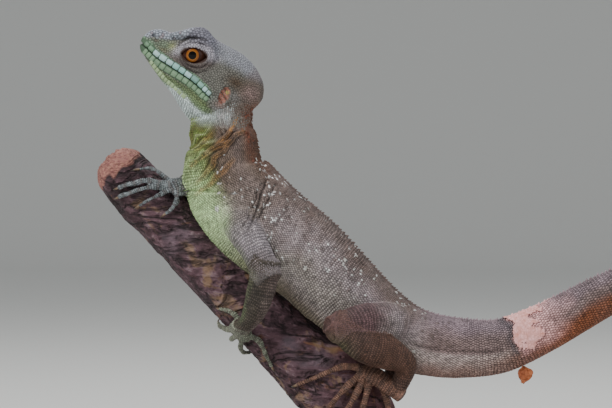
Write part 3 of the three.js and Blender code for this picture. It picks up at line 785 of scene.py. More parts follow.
@dataclass
class Perch:
    """The cut length of branch.

    Attributes:
        top: The middle of its upper cut end.
        slope: Degrees below level.
        span: Its length from the cut.
        stub: How far the torn upper end bulges past the cut.
        radii: Its half thickness from top to bottom, evenly spaced.
        knots: Swellings: down the branch, degrees round, height, and reach along and round.
    """

    top: tuple[float, float, float] = (-91, 5, 172.1)
    slope: float = 46.7
    span: float = 172
    stub: float = 4.5
    radii: tuple[float, ...] = (10.6, 11.4, 11.6, 11.6, 12.2, 13.4, 13.0, 12.4)
    knots: tuple[tuple[float, ...], ...] = (
        (104, 355, 3.4, 21, 55), (126, 10, 6.6, 15, 50), (14, 150, 1.2, 9, 40), (52, 95, 0.9, 10, 35),
        (96, 60, 0.8, 12, 45), (60, 250, 1.6, 12, 50), (150, 200, 1.5, 16, 60), (32, 330, 1.0, 10, 40))
    around: int = 150
    rows: int = 420

    def __post_init__(self) -> None:
        """Works out its directions."""
        slope = math.radians(self.slope)
        self.along = np.array([math.cos(slope), 0, -math.sin(slope)])
        self.up = np.cross(self.along, ACROSS)
        self.start = np.array(self.top, float)

    def radius(self, down: Array, degrees: Array) -> Array:
        """How thick it is at a place."""
        rows = np.array(self.radii)[:, None]
        total = curve_at(rows, np.clip(np.ravel(down) / self.span, 0, 1), False)[:, 0].reshape(np.shape(down))
        for at, turn, height, reach, spread in self.knots:
            round_ = (degrees - turn + 180) % 360 - 180
            total = total + height * np.exp(-(((down - at) / reach) ** 2) - (round_ / spread) ** 2)
        return total

    def point(self, down: Array, degrees: Array, lift: Array | float = 0.0) -> Array:
        """A place at a height over the bark, by its place down and round the branch."""
        down, degrees = np.broadcast_arrays(np.asarray(down, float), np.asarray(degrees, float))
        turn = np.radians(degrees)
        out = self.up * np.cos(turn)[..., None] - ACROSS * np.sin(turn)[..., None]
        reach = self.radius(down, degrees) + lift
        return self.start + self.along * down[..., None] + out * reach[..., None]

    def outward(self, points: Array) -> Array:
        """The way out of the branch at each place."""
        return across(points - self.start, np.broadcast_to(self.along, points.shape))

    def clear(self, points: Array, gap: float) -> Array:
        """Moves places that lie in the branch out to a gap over its bark."""
        away = points - self.start
        down = away @ self.along
        out = self.outward(points)
        distance = np.sum(away * out, axis=1)
        degrees = np.degrees(np.arctan2(-out[:, 1], out @ self.up))
        short = self.radius(down, degrees) + gap - distance
        inside = (short > 0) & (down > -2) & (down < self.span)
        return points + out * np.where(inside, short, 0)[:, None]

    def build(self, bark: bpy.types.Material) -> None:
        """Models the bark and the torn upper end."""
        bpy.ops.object.select_all(action="DESELECT")
        bpy.ops.mesh.primitive_cylinder_add(vertices=self.around, radius=1, depth=2, end_fill_type="TRIFAN")
        piece = bpy.context.object
        piece.name = "branch_bark"
        body = bmesh.new()
        body.from_mesh(piece.data)
        sides = [edge for edge in body.edges if abs(edge.verts[0].co.z - edge.verts[1].co.z) > 1]
        bmesh.ops.subdivide_edges(body, edges=sides, cuts=self.rows)
        spokes = [e for e in body.edges if min(v.co.xy.length for v in e.verts) < 0.01]
        bmesh.ops.subdivide_edges(body, edges=spokes, cuts=14)
        body.to_mesh(piece.data)
        body.free()
        raw = points_of(piece) * MM
        radial = np.hypot(raw[:, 0], raw[:, 1])
        down = (1 - raw[:, 2]) / 2 * (self.span + self.stub) - self.stub
        degrees = np.degrees(np.arctan2(-raw[:, 0], raw[:, 1]))
        ring = self.point(down, degrees)
        stub = smooth(-self.stub, 1.5, down)
        taper = 0.66 + 0.34 * np.sqrt(stub)
        axis = self.start + self.along * down[:, None]
        out = self.outward(ring)
        ridge = grain(ring * np.array([0.35, 1, 0.35]), 2.2, 3) * 0.22 + grain(ring, 0.9, 5) * 0.12
        ridge += grain(ring, 6.5, 9) * 0.25
        ridge -= 0.6 * smooth(0.1, 0.7, grain(ring * np.array([0.6, 1, 0.6]), 4.5, 10))
        crack = bump(0, 0.12, grain(ring * np.array([0.3, 1, 0.3]), 3.4, 12)) * 0.35
        places = axis + (ring - axis + out * (ridge - crack - 0.15)[:, None]) * (radial * taper)[:, None]
        face = (radial < 0.97) & (down < 0)
        rough = grain(places, 2.0, 21) + grain(places, 0.7, 22) * 0.4
        places -= self.along * (np.where(face, rough + 1.2 * (1 - radial**2), 0))[:, None]
        move_points(piece, places)
        fray = smooth(-1.0, 4.4, down + grain(places, 2.5, 8) * 2.2)
        measure(piece, "cut", np.maximum(1 - fray, radial < 0.97))
        face_outwards(piece)
        settle(piece, "bark", bark, "branch")


# The animal's own measures

HEAD_SECTIONS = {
    "nose_tip": (-0.9, 0.6, 4.9, -2.9, 3.1, 0.9, 0.9),
    "nostril": (3.6, -0.6, 7.4, -5.2, 4.4, 0.85, 0.9),
    "cheek_front": (9.6, -1.8, 9.1, -8.4, 5.9, 0.85, 0.9),
    "brow_front": (14.2, -2.2, 13.4, -10.8, 7.4, 0.75, 0.95),
    "brow": (19.2, -2.4, 15.8, -13.0, 8.9, 0.7, 1.0),
    "temple": (25.0, -2.8, 13.9, -16.6, 10.3, 0.95, 1.05),
    "jaw_angle": (31.2, -3.4, 13.5, -19.2, 11.3, 1.25, 1.05),
    "ear": (37.6, -3.8, 13.0, -18.0, 11.3, 1.45, 1.0),
    "crest": (43.6, -2.0, 10.8, -13.0, 9.3, 1.6, 1.0),
    "crest_back": (48.6, 0.4, 7.2, -6.5, 6.0, 1.6, 1.0),
    "crest_tip": (51.6, 1.2, 3.6, -2.0, 3.0, 1.4, 1.0),
}

BODY_SECTIONS = {
    "skull": (-46.4, 0, 200.5, 9.4, 8.0, 1.2, 1.0),
    "throat": (-49.9, 0, 188.8, 12.3, 9.3, 1.2, 1.05),
    "neck": (-49.3, 0, 180.0, 13.5, 9.9, 1.15, 1.05),
    "neck_base": (-49.1, 0, 170.5, 16.5, 11.4, 1.15, 1.0),
    "shoulder": (-44.4, 0, 161.0, 18.4, 13.1, 1.15, 0.95),
    "chest": (-37.5, 0, 152.6, 18.9, 13.7, 1.15, 0.95),
    "ribs": (-26.9, 0, 144.1, 18.3, 13.9, 1.15, 0.95),
    "belly": (-16.1, 0, 136.0, 17.4, 14.1, 1.15, 0.95),
    "loin": (-2.3, 0, 122.6, 16.2, 13.0, 1.15, 0.95),
    "pelvis": (9.6, 0, 113.0, 14.3, 11.6, 1.1, 1.0),
    "vent": (20.7, 0, 106.1, 12.9, 10.2, 1.1, 1.0),
    "tail_root": (32.0, 0, 102.8, 12.1, 9.7, 1.1, 1.0),
    "tail_thick": (43.7, 0, 101.6, 11.5, 9.2, 1.1, 1.0),
    "tail_bend": (58.5, 0, 102.4, 10.4, 8.2, 1.1, 1.0),
    "tail_rise": (74.1, 0, 108.7, 9.4, 7.2, 1.1, 1.0),
    "tail_slope": (87.8, 0.5, 116.0, 8.8, 6.6, 1.1, 1.0),
    "tail_shoulder": (102.6, 1.2, 123.8, 8.1, 6.0, 1.1, 1.0),
    "tail_upper": (121.0, 3, 131.6, 7.1, 5.2, 1.1, 1.0),
    "tail_crown": (143.0, 6, 136.0, 6.2, 4.5, 1.1, 1.0),
    "tail_over": (166.0, 10, 134.6, 5.4, 3.9, 1.05, 1.0),
    "tail_fall": (189.0, 16, 126.2, 4.7, 3.4, 1.0, 1.0),
    "tail_drop": (211.0, 23, 112.6, 4.0, 2.9, 1.0, 1.0),
    "tail_low": (233.0, 31, 97.0, 3.4, 2.5, 1.0, 1.0),
    "tail_thin": (256.0, 39, 83.0, 2.8, 2.1, 1.0, 1.0),
    "whip_start": (280.0, 47, 72.6, 2.2, 1.75, 1.0, 1.0),
    "whip": (305.0, 55, 66.4, 1.75, 1.4, 1.0, 1.0),
    "whip_end": (329.0, 62, 64.2, 1.25, 1.05, 1.0, 1.0),
    "tip": (350.0, 67, 66.0, 0.6, 0.6, 1.0, 1.0),
}

ARM_SECTIONS = {
    Side.LEFT: (
        (-45.5, -5.0, 156.0, 7.2, 6.4), (-42.4, -10.5, 150.4, 7.2, 6.4), (-37.3, -16.5, 142.2, 6.3, 5.6),
        (-32.6, -20.5, 132.8, 5.6, 5.2), (-34.9, -20.0, 122.6, 5.4, 5.0), (-38.6, -15.5, 113.6, 3.8, 3.6)),
    Side.RIGHT: (
        (-45.5, 5.0, 156.0, 7.2, 6.4), (-44.0, 11.5, 154.2, 6.8, 6.2), (-43.6, 19.0, 154.0, 5.9, 5.4),
        (-46.4, 25.0, 156.4, 5.2, 5.0), (-55.0, 19.0, 161.6, 4.8, 4.6), (-64.0, 8.5, 166.6, 3.6, 3.5)),
}
LEG_SECTIONS = {
    Side.LEFT: (
        (19.0, -5.0, 110.0, 8.6, 6.0), (13.0, -11.0, 112.4, 7.8, 7.0), (4.4, -17.5, 113.6, 6.6, 6.8),
        (-4.2, -21.0, 111.4, 5.6, 5.8), (4.4, -20.0, 104.6, 6.6, 5.8), (13.6, -17.0, 101.4, 6.9, 5.4),
        (20.8, -13.5, 96.4, 4.4, 4.0)),
    Side.RIGHT: (
        (19.0, 5.0, 110.0, 8.6, 6.0), (13.0, 11.0, 112.4, 7.8, 7.0), (4.8, 18.5, 113.8, 6.6, 6.8),
        (-3.4, 24.0, 111.6, 5.6, 5.8), (4.6, 24.5, 104.8, 6.6, 5.8), (13.2, 23.5, 100.6, 6.9, 5.4),
        (20.0, 21.5, 95.4, 4.4, 4.0)),
}
FOLDS_AT = 3  # the section where a limb folds


@dataclass(frozen=True)
class Grip:
    """A hand or foot on the branch.

    Attributes:
        palm: Down the branch, degrees round it, height of the bone, half depth and half width.
        digits: For each digit its bones, down the branch and degrees round it.
        thickness: Half the thickness of a digit.
    """

    palm: tuple[tuple[float, ...], ...]
    digits: tuple[tuple[tuple[float, float], ...], ...]
    thickness: float


GRIPS = {
    ("hand", Side.LEFT): Grip(
        ((78.0, 112, 5.6, 3.3, 4.0), (79.2, 122, 3.3, 2.7, 5.2), (80.2, 138, 2.4, 2.1, 5.0)),
        (((77.6, 116), (73.4, 112), (69.8, 118), (67.4, 130)),
         ((78.0, 128), (75.2, 146), (72.6, 166), (71.2, 184)),
         ((79.8, 134), (79.4, 156), (79.6, 180), (80.4, 202)),
         ((81.8, 133), (84.0, 155), (86.4, 178), (88.4, 200)),
         ((82.2, 120), (86.8, 112), (92.2, 120), (98.0, 131))), 1.35),
    ("hand", Side.RIGHT): Grip(
        ((24.6, 8, 4.8, 3.0, 3.5), (22.6, 26, 3.2, 2.6, 4.3), (19.8, 46, 2.3, 2.1, 4.2)),
        (((21.0, 32), (13.6, 34), (9.2, 42), (6.6, 60)),
         ((20.2, 38), (13.4, 60), (9.4, 84), (6.6, 112)),
         ((20.6, 40), (14.6, 72), (11.2, 100), (9.2, 124)),
         ((21.4, 40), (19.6, 66), (18.0, 88), (17.2, 106)),
         ((22.6, 34), (25.6, 52), (26.6, 68), (26.4, 82))), 1.35),
    ("foot", Side.LEFT): Grip(
        ((137.4, 36, 8.6, 3.2, 3.6), (130.6, 37, 5.2, 3.0, 4.4), (121.4, 40, 3.2, 2.4, 4.6)),
        (((126.0, 36), (129.0, 50), (132.4, 66), (134.6, 80)),
         ((124.4, 42), (127.0, 62), (129.0, 84), (129.6, 104)),
         ((123.0, 44), (122.6, 66), (123.4, 92), (124.4, 118)),
         ((121.4, 40), (116.0, 52), (112.6, 80), (109.2, 118)),
         ((132.0, 34), (138.4, 38), (143.6, 48), (147.2, 62))), 1.55),
    ("foot", Side.RIGHT): Grip(
        ((136.0, -38, 8.4, 3.4, 3.6), (129.6, -42, 5.0, 3.0, 4.4), (121.4, -46, 3.0, 2.3, 4.6)),
        (((125.0, -40), (116.0, -38), (110.0, -44), (106.0, -56)),
         ((124.0, -44), (114.0, -52), (107.0, -66), (102.0, -84)),
         ((124.0, -48), (116.6, -66), (110.6, -90), (106.6, -114)),
         ((124.6, -50), (121.6, -76), (119.0, -104), (116.6, -134)),
         ((130.0, -44), (134.6, -60), (138.8, -76), (141.4, -92))), 1.55),
}
DIGIT_LIFTS = (2.6, 2.3, 1.9, 1.2)
DIGIT_TAPER = (1.15, 1.0, 0.85, 0.68)


def rounded(places: Sequence[Sequence[float]], side_at: Callable[[Array], Array] | None = None) -> Track:
    """A track of plain oval sections, each x, y, z, half depth and half width."""
    return Track([(x, y, z, deep, deep, wide, 1, 1) for x, y, z, deep, wide in places], side_at)


class Part(Enum):
    """What a form belongs to, which sets its scales and colours."""

    HEAD = "head"
    BODY = "body"
    ARM = "arm"
    LEG = "leg"
    HAND = "hand"
    FOOT = "foot"


@dataclass
class HeadFrame:
    """The head's own frame: X back from the snout, Z towards the crown."""

    snout: tuple[float, float, float] = (-80.7, 0, 221.2)
    pitch: float = 27.0
    eye: tuple[float, float, float] = (20.1, 5.6, 4.8)
    eye_radii: tuple[float, float, float] = (5.7, 4.0, 5.4)
    lid: float = 0.9
    opening: float = 5.0
    upper: float = 2.8
    lower: float = 3.1
    slant: float = 18.0
    opening_off: tuple[float, float] = (0.8, -0.8)
    gaze_off: tuple[float, float] = (0.3, -1.1)
    ear: tuple[float, float, float, float] = (38.4, -4.6, 2.0, 3.7)
    nostril: tuple[float, float] = (2.9, 4.1)
    mouth: tuple[tuple[float, float], ...] = (
        (-4.0, -0.3), (0.3, -1.0), (8.1, -3.3), (16.3, -4.3), (25.4, -5.5), (34.6, -8.2))

    def __post_init__(self) -> None:
        """Works out the frame's turn."""
        turn = math.radians(self.pitch)
        cosine, sine = math.cos(turn), math.sin(turn)
        self.turn = np.array([[cosine, 0, sine], [0, 1, 0], [-sine, 0, cosine]])
        self.origin = np.array(self.snout, float)

    def out(self, places: Array) -> Array:
        """From the head's frame to the model's."""
        return places @ self.turn.T + self.origin

    def into(self, places: Array) -> Array:
        """From the model's frame to the head's."""
        return (places - self.origin) @ self.turn

    def mouth_level(self, back: Array) -> Array:
        """The height of the mouth's line."""
        knots = np.array(self.mouth)
        share = np.interp(back, knots[:, 0], np.arange(len(knots)) / (len(knots) - 1))
        return curve_at(knots, np.ravel(share), True)[:, 1].reshape(np.shape(back))

    def almond(self, turn: Array, grow: float = 0.0) -> tuple[Array, Array]:
        """The edge between the lids.

        Args:
            turn: Where on the edge, in radians from the back corner.
            grow: How far outside it.

        Returns:
            The place back from the snout, and up.
        """
        part = np.cos(turn)
        tall = np.where(np.sin(turn) > 0, self.upper, -self.lower)
        x = part * (self.opening + grow * 1.1)
        z = tall * (1 - part**2) * (1 + grow / 3.1) + np.sign(np.sin(turn)) * grow * 0.25
        slant = math.radians(self.slant)
        back = x * math.cos(slant) - z * math.sin(slant)
        up = x * math.sin(slant) + z * math.cos(slant)
        return back + self.eye[0] + self.opening_off[0], up + self.eye[2] + self.opening_off[1]

    def from_opening(self, back: Array, up: Array) -> Array:
        """How far a place is from the eye opening: under 1 inside it, then rising outwards."""
        slant = math.radians(self.slant)
        dx, dz = back - self.eye[0] - self.opening_off[0], up - self.eye[2] - self.opening_off[1]
        x = dx * math.cos(slant) + dz * math.sin(slant)
        z = -dx * math.sin(slant) + dz * math.cos(slant)
        tall = np.where(z > 0, self.upper, self.lower)
        return np.sqrt((x / self.opening) ** 2 + (z / tall) ** 2)

    def from_ear(self, back: Array, up: Array) -> Array:
        """How far a place is from the middle of the ear, where 1 is its rim."""
        at, level, long, tall = self.ear
        return np.hypot((back - at) / long, (up - level) / tall)

    def from_nostril(self, back: Array, up: Array) -> Array:
        """How far a place is from the nostril, in millimetres."""
        return np.hypot(back - self.nostril[0], up - self.nostril[1])


@dataclass(frozen=True)
class Wrinkle:
    """A ridge or crease of loose skin, alike on both sides.

    Attributes:
        line: Its course, in X and Z.
        height: How far it rises, or sinks where negative.
        width: Half its width.
        stain: How strongly it is coloured: orange on a ridge, with painted shade at its foot; painted shade
            in a crease.
        outer: How far from the middle it starts.
        wobble: How far its course strays.
    """

    line: tuple[tuple[float, float], ...]
    height: float
    width: float
    stain: float = 0.0
    outer: float = 0.0
    wobble: float = 0.5

    def reach(self, places: Array) -> tuple[Array, Array]:
        """How far places are from its line, and how strong it is beside them."""
        fine = curve_at(np.array(self.line), np.linspace(0, 1, 30), True)
        stray = np.stack([grain(places, 2.6, 33), grain(places, 2.6, 34)], axis=1)
        flat = places[:, [0, 2]] + stray * self.wobble
        best, share = np.full(len(places), 99.0), np.zeros(len(places))
        for index, (first, last) in enumerate(zip(fine, fine[1:])):
            step = last - first
            part = np.clip((flat - first) @ step / (step @ step), 0, 1)
            gap = np.linalg.norm(flat - first - part[:, None] * step, axis=1)
            closer = gap < best
            best, share = np.where(closer, gap, best), np.where(closer, (index + part) / 29, share)
        strength = np.sqrt(np.clip(np.sin(math.pi * np.clip(share * 0.9 + 0.07, 0, 1)), 0, 1))
        if self.outer:
            strength = strength * smooth(self.outer - 2, self.outer + 2, np.abs(places[:, 1]))
        return best, strength

    def lift(self, places: Array) -> Array:
        """How far it moves the skin out."""
        gap, strength = self.reach(places)
        beside = 0.25 * bump(2.1 * self.width, 0.9 * self.width, gap)
        return self.height * 1.25 * strength * (bump(0, self.width, gap) - beside)

    def top(self, places: Array) -> Array:
        """1 on its top and 0 beside it."""
        gap, strength = self.reach(places)
        return strength * bump(0, self.width * 0.95, gap)

    def foot(self, places: Array) -> Array:
        """1 in the shade at its foot."""
        gap, strength = self.reach(places)
        return strength * bump(1.9 * self.width, 0.7 * self.width, gap)


WRINKLES = (
    Wrinkle(((-41.5, 186.4), (-49.6, 180.7), (-53.7, 179.3), (-56.5, 176.6), (-61.8, 172.6)),
            1.25, 0.72, 0.95),
    Wrinkle(((-44.6, 184.5), (-48.9, 178.6), (-52.4, 175.9), (-53.1, 172.4), (-56.5, 168.9), (-59.6, 166.0)),
            1.15, 0.7, 0.9),
    Wrinkle(((-43.6, 191.4), (-46.8, 185.6), (-51.3, 181.1)), 0.95, 0.7, 0.85),
    Wrinkle(((-45.1, 175.0), (-49.6, 170.3), (-55.1, 164.8), (-59.8, 161.6)), 0.8, 0.85, 0.5),
    Wrinkle(((-60.5, 179.0), (-56.5, 182.0), (-52.6, 186.5)), 0.7, 0.8, 0.35),
    Wrinkle(((-65.0, 163.2), (-53.1, 162.8), (-42.7, 162.0)), -0.7, 0.7),
    Wrinkle(((-32.0, 167.4), (-35.7, 157.8), (-39.6, 145.8)), -1.0, 0.8, 0.0, 6.0),
    Wrinkle(((-29.2, 165.4), (-32.3, 158.5), (-36.0, 149.9)), -0.6, 0.6, 0.0, 6.0),
    Wrinkle(((-35.0, 164.4), (-37.8, 156.5), (-41.6, 147.8)), -0.7, 0.6, 0.0, 6.0),
    Wrinkle(((-23.6, 157.5), (-28.1, 150.9), (-32.6, 143.4)), -0.5, 0.8, 0.0, 6.0),
    Wrinkle(((-17.5, 146.0), (-19.0, 139.0), (-22.0, 132.0)), -0.35, 1.0, 0.0, 6.0),
)

# In the head's own frame: the crease under the brow, and the folds of the lids, each painted dark along its
# crease as painted shade.
FACE_LINES = (
    Wrinkle(((13.6, 4.6), (14.4, 7.2), (16.2, 9.2), (19.0, 10.4), (23.2, 11.2)), -0.75, 0.5, 1.0, 4.0, 0.12),
    Wrinkle(((15.4, 3.6), (16.6, 6.8), (19.5, 8.7), (22.9, 9.4), (25.8, 8.6), (27.4, 6.0)),
            -0.32, 0.4, 0.6, 4.0, 0.1),
    Wrinkle(((16.6, 2.0), (18.6, 0.2), (21.4, -0.5), (24.8, 0.5), (26.6, 2.2), (27.4, 4.7)),
            -0.62, 0.42, 1.0, 4.0, 0.1),
    Wrinkle(((16.0, 0.9), (18.8, -1.0), (22.0, -1.9), (25.6, -1.2), (28.4, 1.2)),
            -0.55, 0.44, 0.9, 4.0, 0.12),
    Wrinkle(((7.0, 1.9), (11.0, 1.2), (15.0, 1.0), (18.0, -2.2)), -0.25, 0.5, 0.0, 3.5, 0.2),
)

# Places where the skin is drawn smooth between two forms, on both sides: x, y, z and reach.
JOINS = ((-42, 11.5, 150, 11), (-44, 12, 155, 11), (14, 11.5, 110, 13), (-47, 0, 193, 9), (-33, 0, 174.5, 8))


def at_head(places: Array) -> Array:
    """Which places are on the head, in the model's frame."""
    return (places[:, 0] < -30) & (places[:, 2] > 186)


def fold_wave(row: Array, low: Array, places: Array) -> tuple[Array, Array]:
    """Where the throat's skin is folded, and the folds from -1 in a crease to 1 on a crest."""
    phase = row * 5.2 + (1 - low) * 9.5 + grain(places, 4.5, 31) * 1.4
    mask = smooth(0.3, 1.4, row) * (1 - smooth(3.0, 4.2, row)) * smooth(0.5, 0.7, low)
    return mask, 1 - np.abs(np.sin(phase)) * 2


def neck_ridges(row: Array, low: Array, places: Array) -> Array:
    """Upright ridges of skin behind the ear, from -1 between them to 1 on them."""
    mask = (1 - smooth(0.9, 1.9, row)) * smooth(0.16, 0.26, low) * (1 - smooth(0.5, 0.62, low))
    return mask * np.sin(places[:, 0] * 3.0 + places[:, 2] * 0.9 + grain(places, 3, 37) * 1.8)


@dataclass
class Form:
    """One closed form of the flesh."""

    name: str
    part: Part
    track: Track
    around: int
    rows: int
    domes: tuple[float, float] = (2.4, 2.0)
    head: HeadFrame | None = None

    def surface(self, share: Array, angle: Array, grow: float = 0.0) -> Array:
        """Places on the form in the model's frame."""
        places = self.track.surface(share, angle, grow)
        return self.head.out(places) if self.head else places

    def shell(self, grow: float) -> tuple[Array, list[tuple[int, ...]]]:
        """The form's closed mesh."""
        verts, faces = self.track.shell(self.around, self.rows, grow, self.domes)
        return (self.head.out(verts) if self.head else verts), faces


class Flesh:
    """All the forms of the animal, from its named sections."""

    def __init__(self, perch: Perch) -> None:
        """Lays out the tracks of the head, body, limbs, hands and feet."""
        self.perch = perch
        self.head = HeadFrame()
        self.names = list(BODY_SECTIONS)
        self.body = Track([(x, y, z, d, d, w, r, k) for x, y, z, d, w, r, k in BODY_SECTIONS.values()])
        rings = [(x, 0, m, t - m, m - b, w, r, k) for x, m, t, b, w, r, k in HEAD_SECTIONS.values()]
        self.skull = Track(rings, heading=np.array([1.0, 0, 0]))
        self.forms = [
            Form("body", Part.BODY, self.body, 72, 620, (6.0, 1.2)),
            Form("head", Part.HEAD, self.skull, 90, 130, (3.2, 3.0), self.head),
        ]
        self.tips: list[Array] = []
        for side in Side:
            self.limb(side, "arm", ARM_SECTIONS[side], Part.ARM, GRIPS["hand", side])
            self.limb(side, "leg", LEG_SECTIONS[side], Part.LEG, GRIPS["foot", side])

    def station(self, name: str) -> float:
        """The share of the body's line where a named section stands."""
        return self.names.index(name) / (len(self.names) - 1)

    def limb(self, side: Side, kind: str, places: Sequence[Sequence[float]], part: Part, grip: Grip) -> None:
        """Adds one limb with its hand or foot."""
        def past(place: Sequence[float], before: Sequence[float]) -> tuple[float, ...]:
            """A section moved on past a joint by its own half depth."""
            at = np.array(place[:3])
            at = at + unit(at - np.array(before[:3])) * place[3]
            return (*at, *place[3:])

        label = f"{kind}_{side.name.lower()}"
        palm = [(*self.perch.point(d, a, lift), deep, wide) for d, a, lift, deep, wide in grip.palm]
        near = [*places[: FOLDS_AT + 1], past(places[FOLDS_AT], places[FOLDS_AT - 1])]
        far = [past(places[FOLDS_AT], places[FOLDS_AT + 1]), *places[FOLDS_AT:], palm[0]]
        end = Part.HAND if kind == "arm" else Part.FOOT
        self.forms.append(Form(f"{label}_upper", part, rounded(near), 40, 60, (4, 4)))
        self.forms.append(Form(f"{label}_lower", part, rounded(far), 40, 60, (4, 2.5)))
        sections = [(x, y, z, wide, deep) for x, y, z, deep, wide in [past(palm[0], palm[1]), *palm]]
        track = rounded(sections, self.perch.outward)
        self.forms.append(Form(f"{label}_palm", end, track, 28, 30, (2.6, 2.6)))
        for index, path in enumerate(grip.digits):
            bones = []
            for (down, degrees), lift, taper in zip(path, DIGIT_LIFTS, DIGIT_TAPER):
                thick = grip.thickness * taper
                bones.append((*self.perch.point(down, degrees, lift), thick, thick))
            track = rounded(self.knuckled(bones), self.perch.outward)
            self.forms.append(Form(f"{label}_digit{index}", end, track, 16, 40, (1, 1)))
            self.tips.append(np.array([bones[2][:3], bones[3][:3]]))

    @staticmethod
    def knuckled(bones: Sequence[Sequence[float]]) -> list[tuple[float, ...]]:
        """Adds slimmer sections halfway between the joints of a digit, so that the joints swell."""
        rows = np.array(bones, float)
        middle = curve_at(rows, np.array([1, 3, 5]) / 6, True)
        middle[:, 3:] *= 0.86
        out = []
        for index in range(4):
            out.append(tuple(rows[index]))
            if index < 3:
                out.append(tuple(middle[index]))
        return out

    def brows(self) -> list[tuple[Array, list[tuple[int, ...]]]]:
        """The lids' shells and the rims of bone over the eyes."""
        shells = []
        rim = ((8.4, 5.0, 6.6, 0.8), (12.4, 6.2, 9.0, 1.3), (17.0, 7.3, 11.3, 1.8), (21.6, 8.1, 11.4, 2.0),
               (25.4, 8.8, 9.0, 1.8), (27.2, 9.4, 5.4, 1.4), (27.2, 9.9, 2.0, 1.0))
        for side in Side:
            track = rounded([(x, side.value * y, z, r, r) for x, y, z, r in rim])
            verts, faces = track.shell(24, 40, 0, (1, 1))
            shells.append((self.head.out(verts), faces))
            centre = np.array(self.head.eye) * (1, side.value, 1)
            radii = np.array(self.head.eye_radii) + self.head.lid
            ends = [(*(centre + (reach, 0, 0)), 1, 1, 1, 1, 1) for reach in (-radii[0], radii[0])]
            verts, faces = Track(ends).shell(48, 30, 0, (radii[0], radii[0]))
            shells.append((self.head.out(centre + unit(verts - centre) * radii), faces))
        return shells


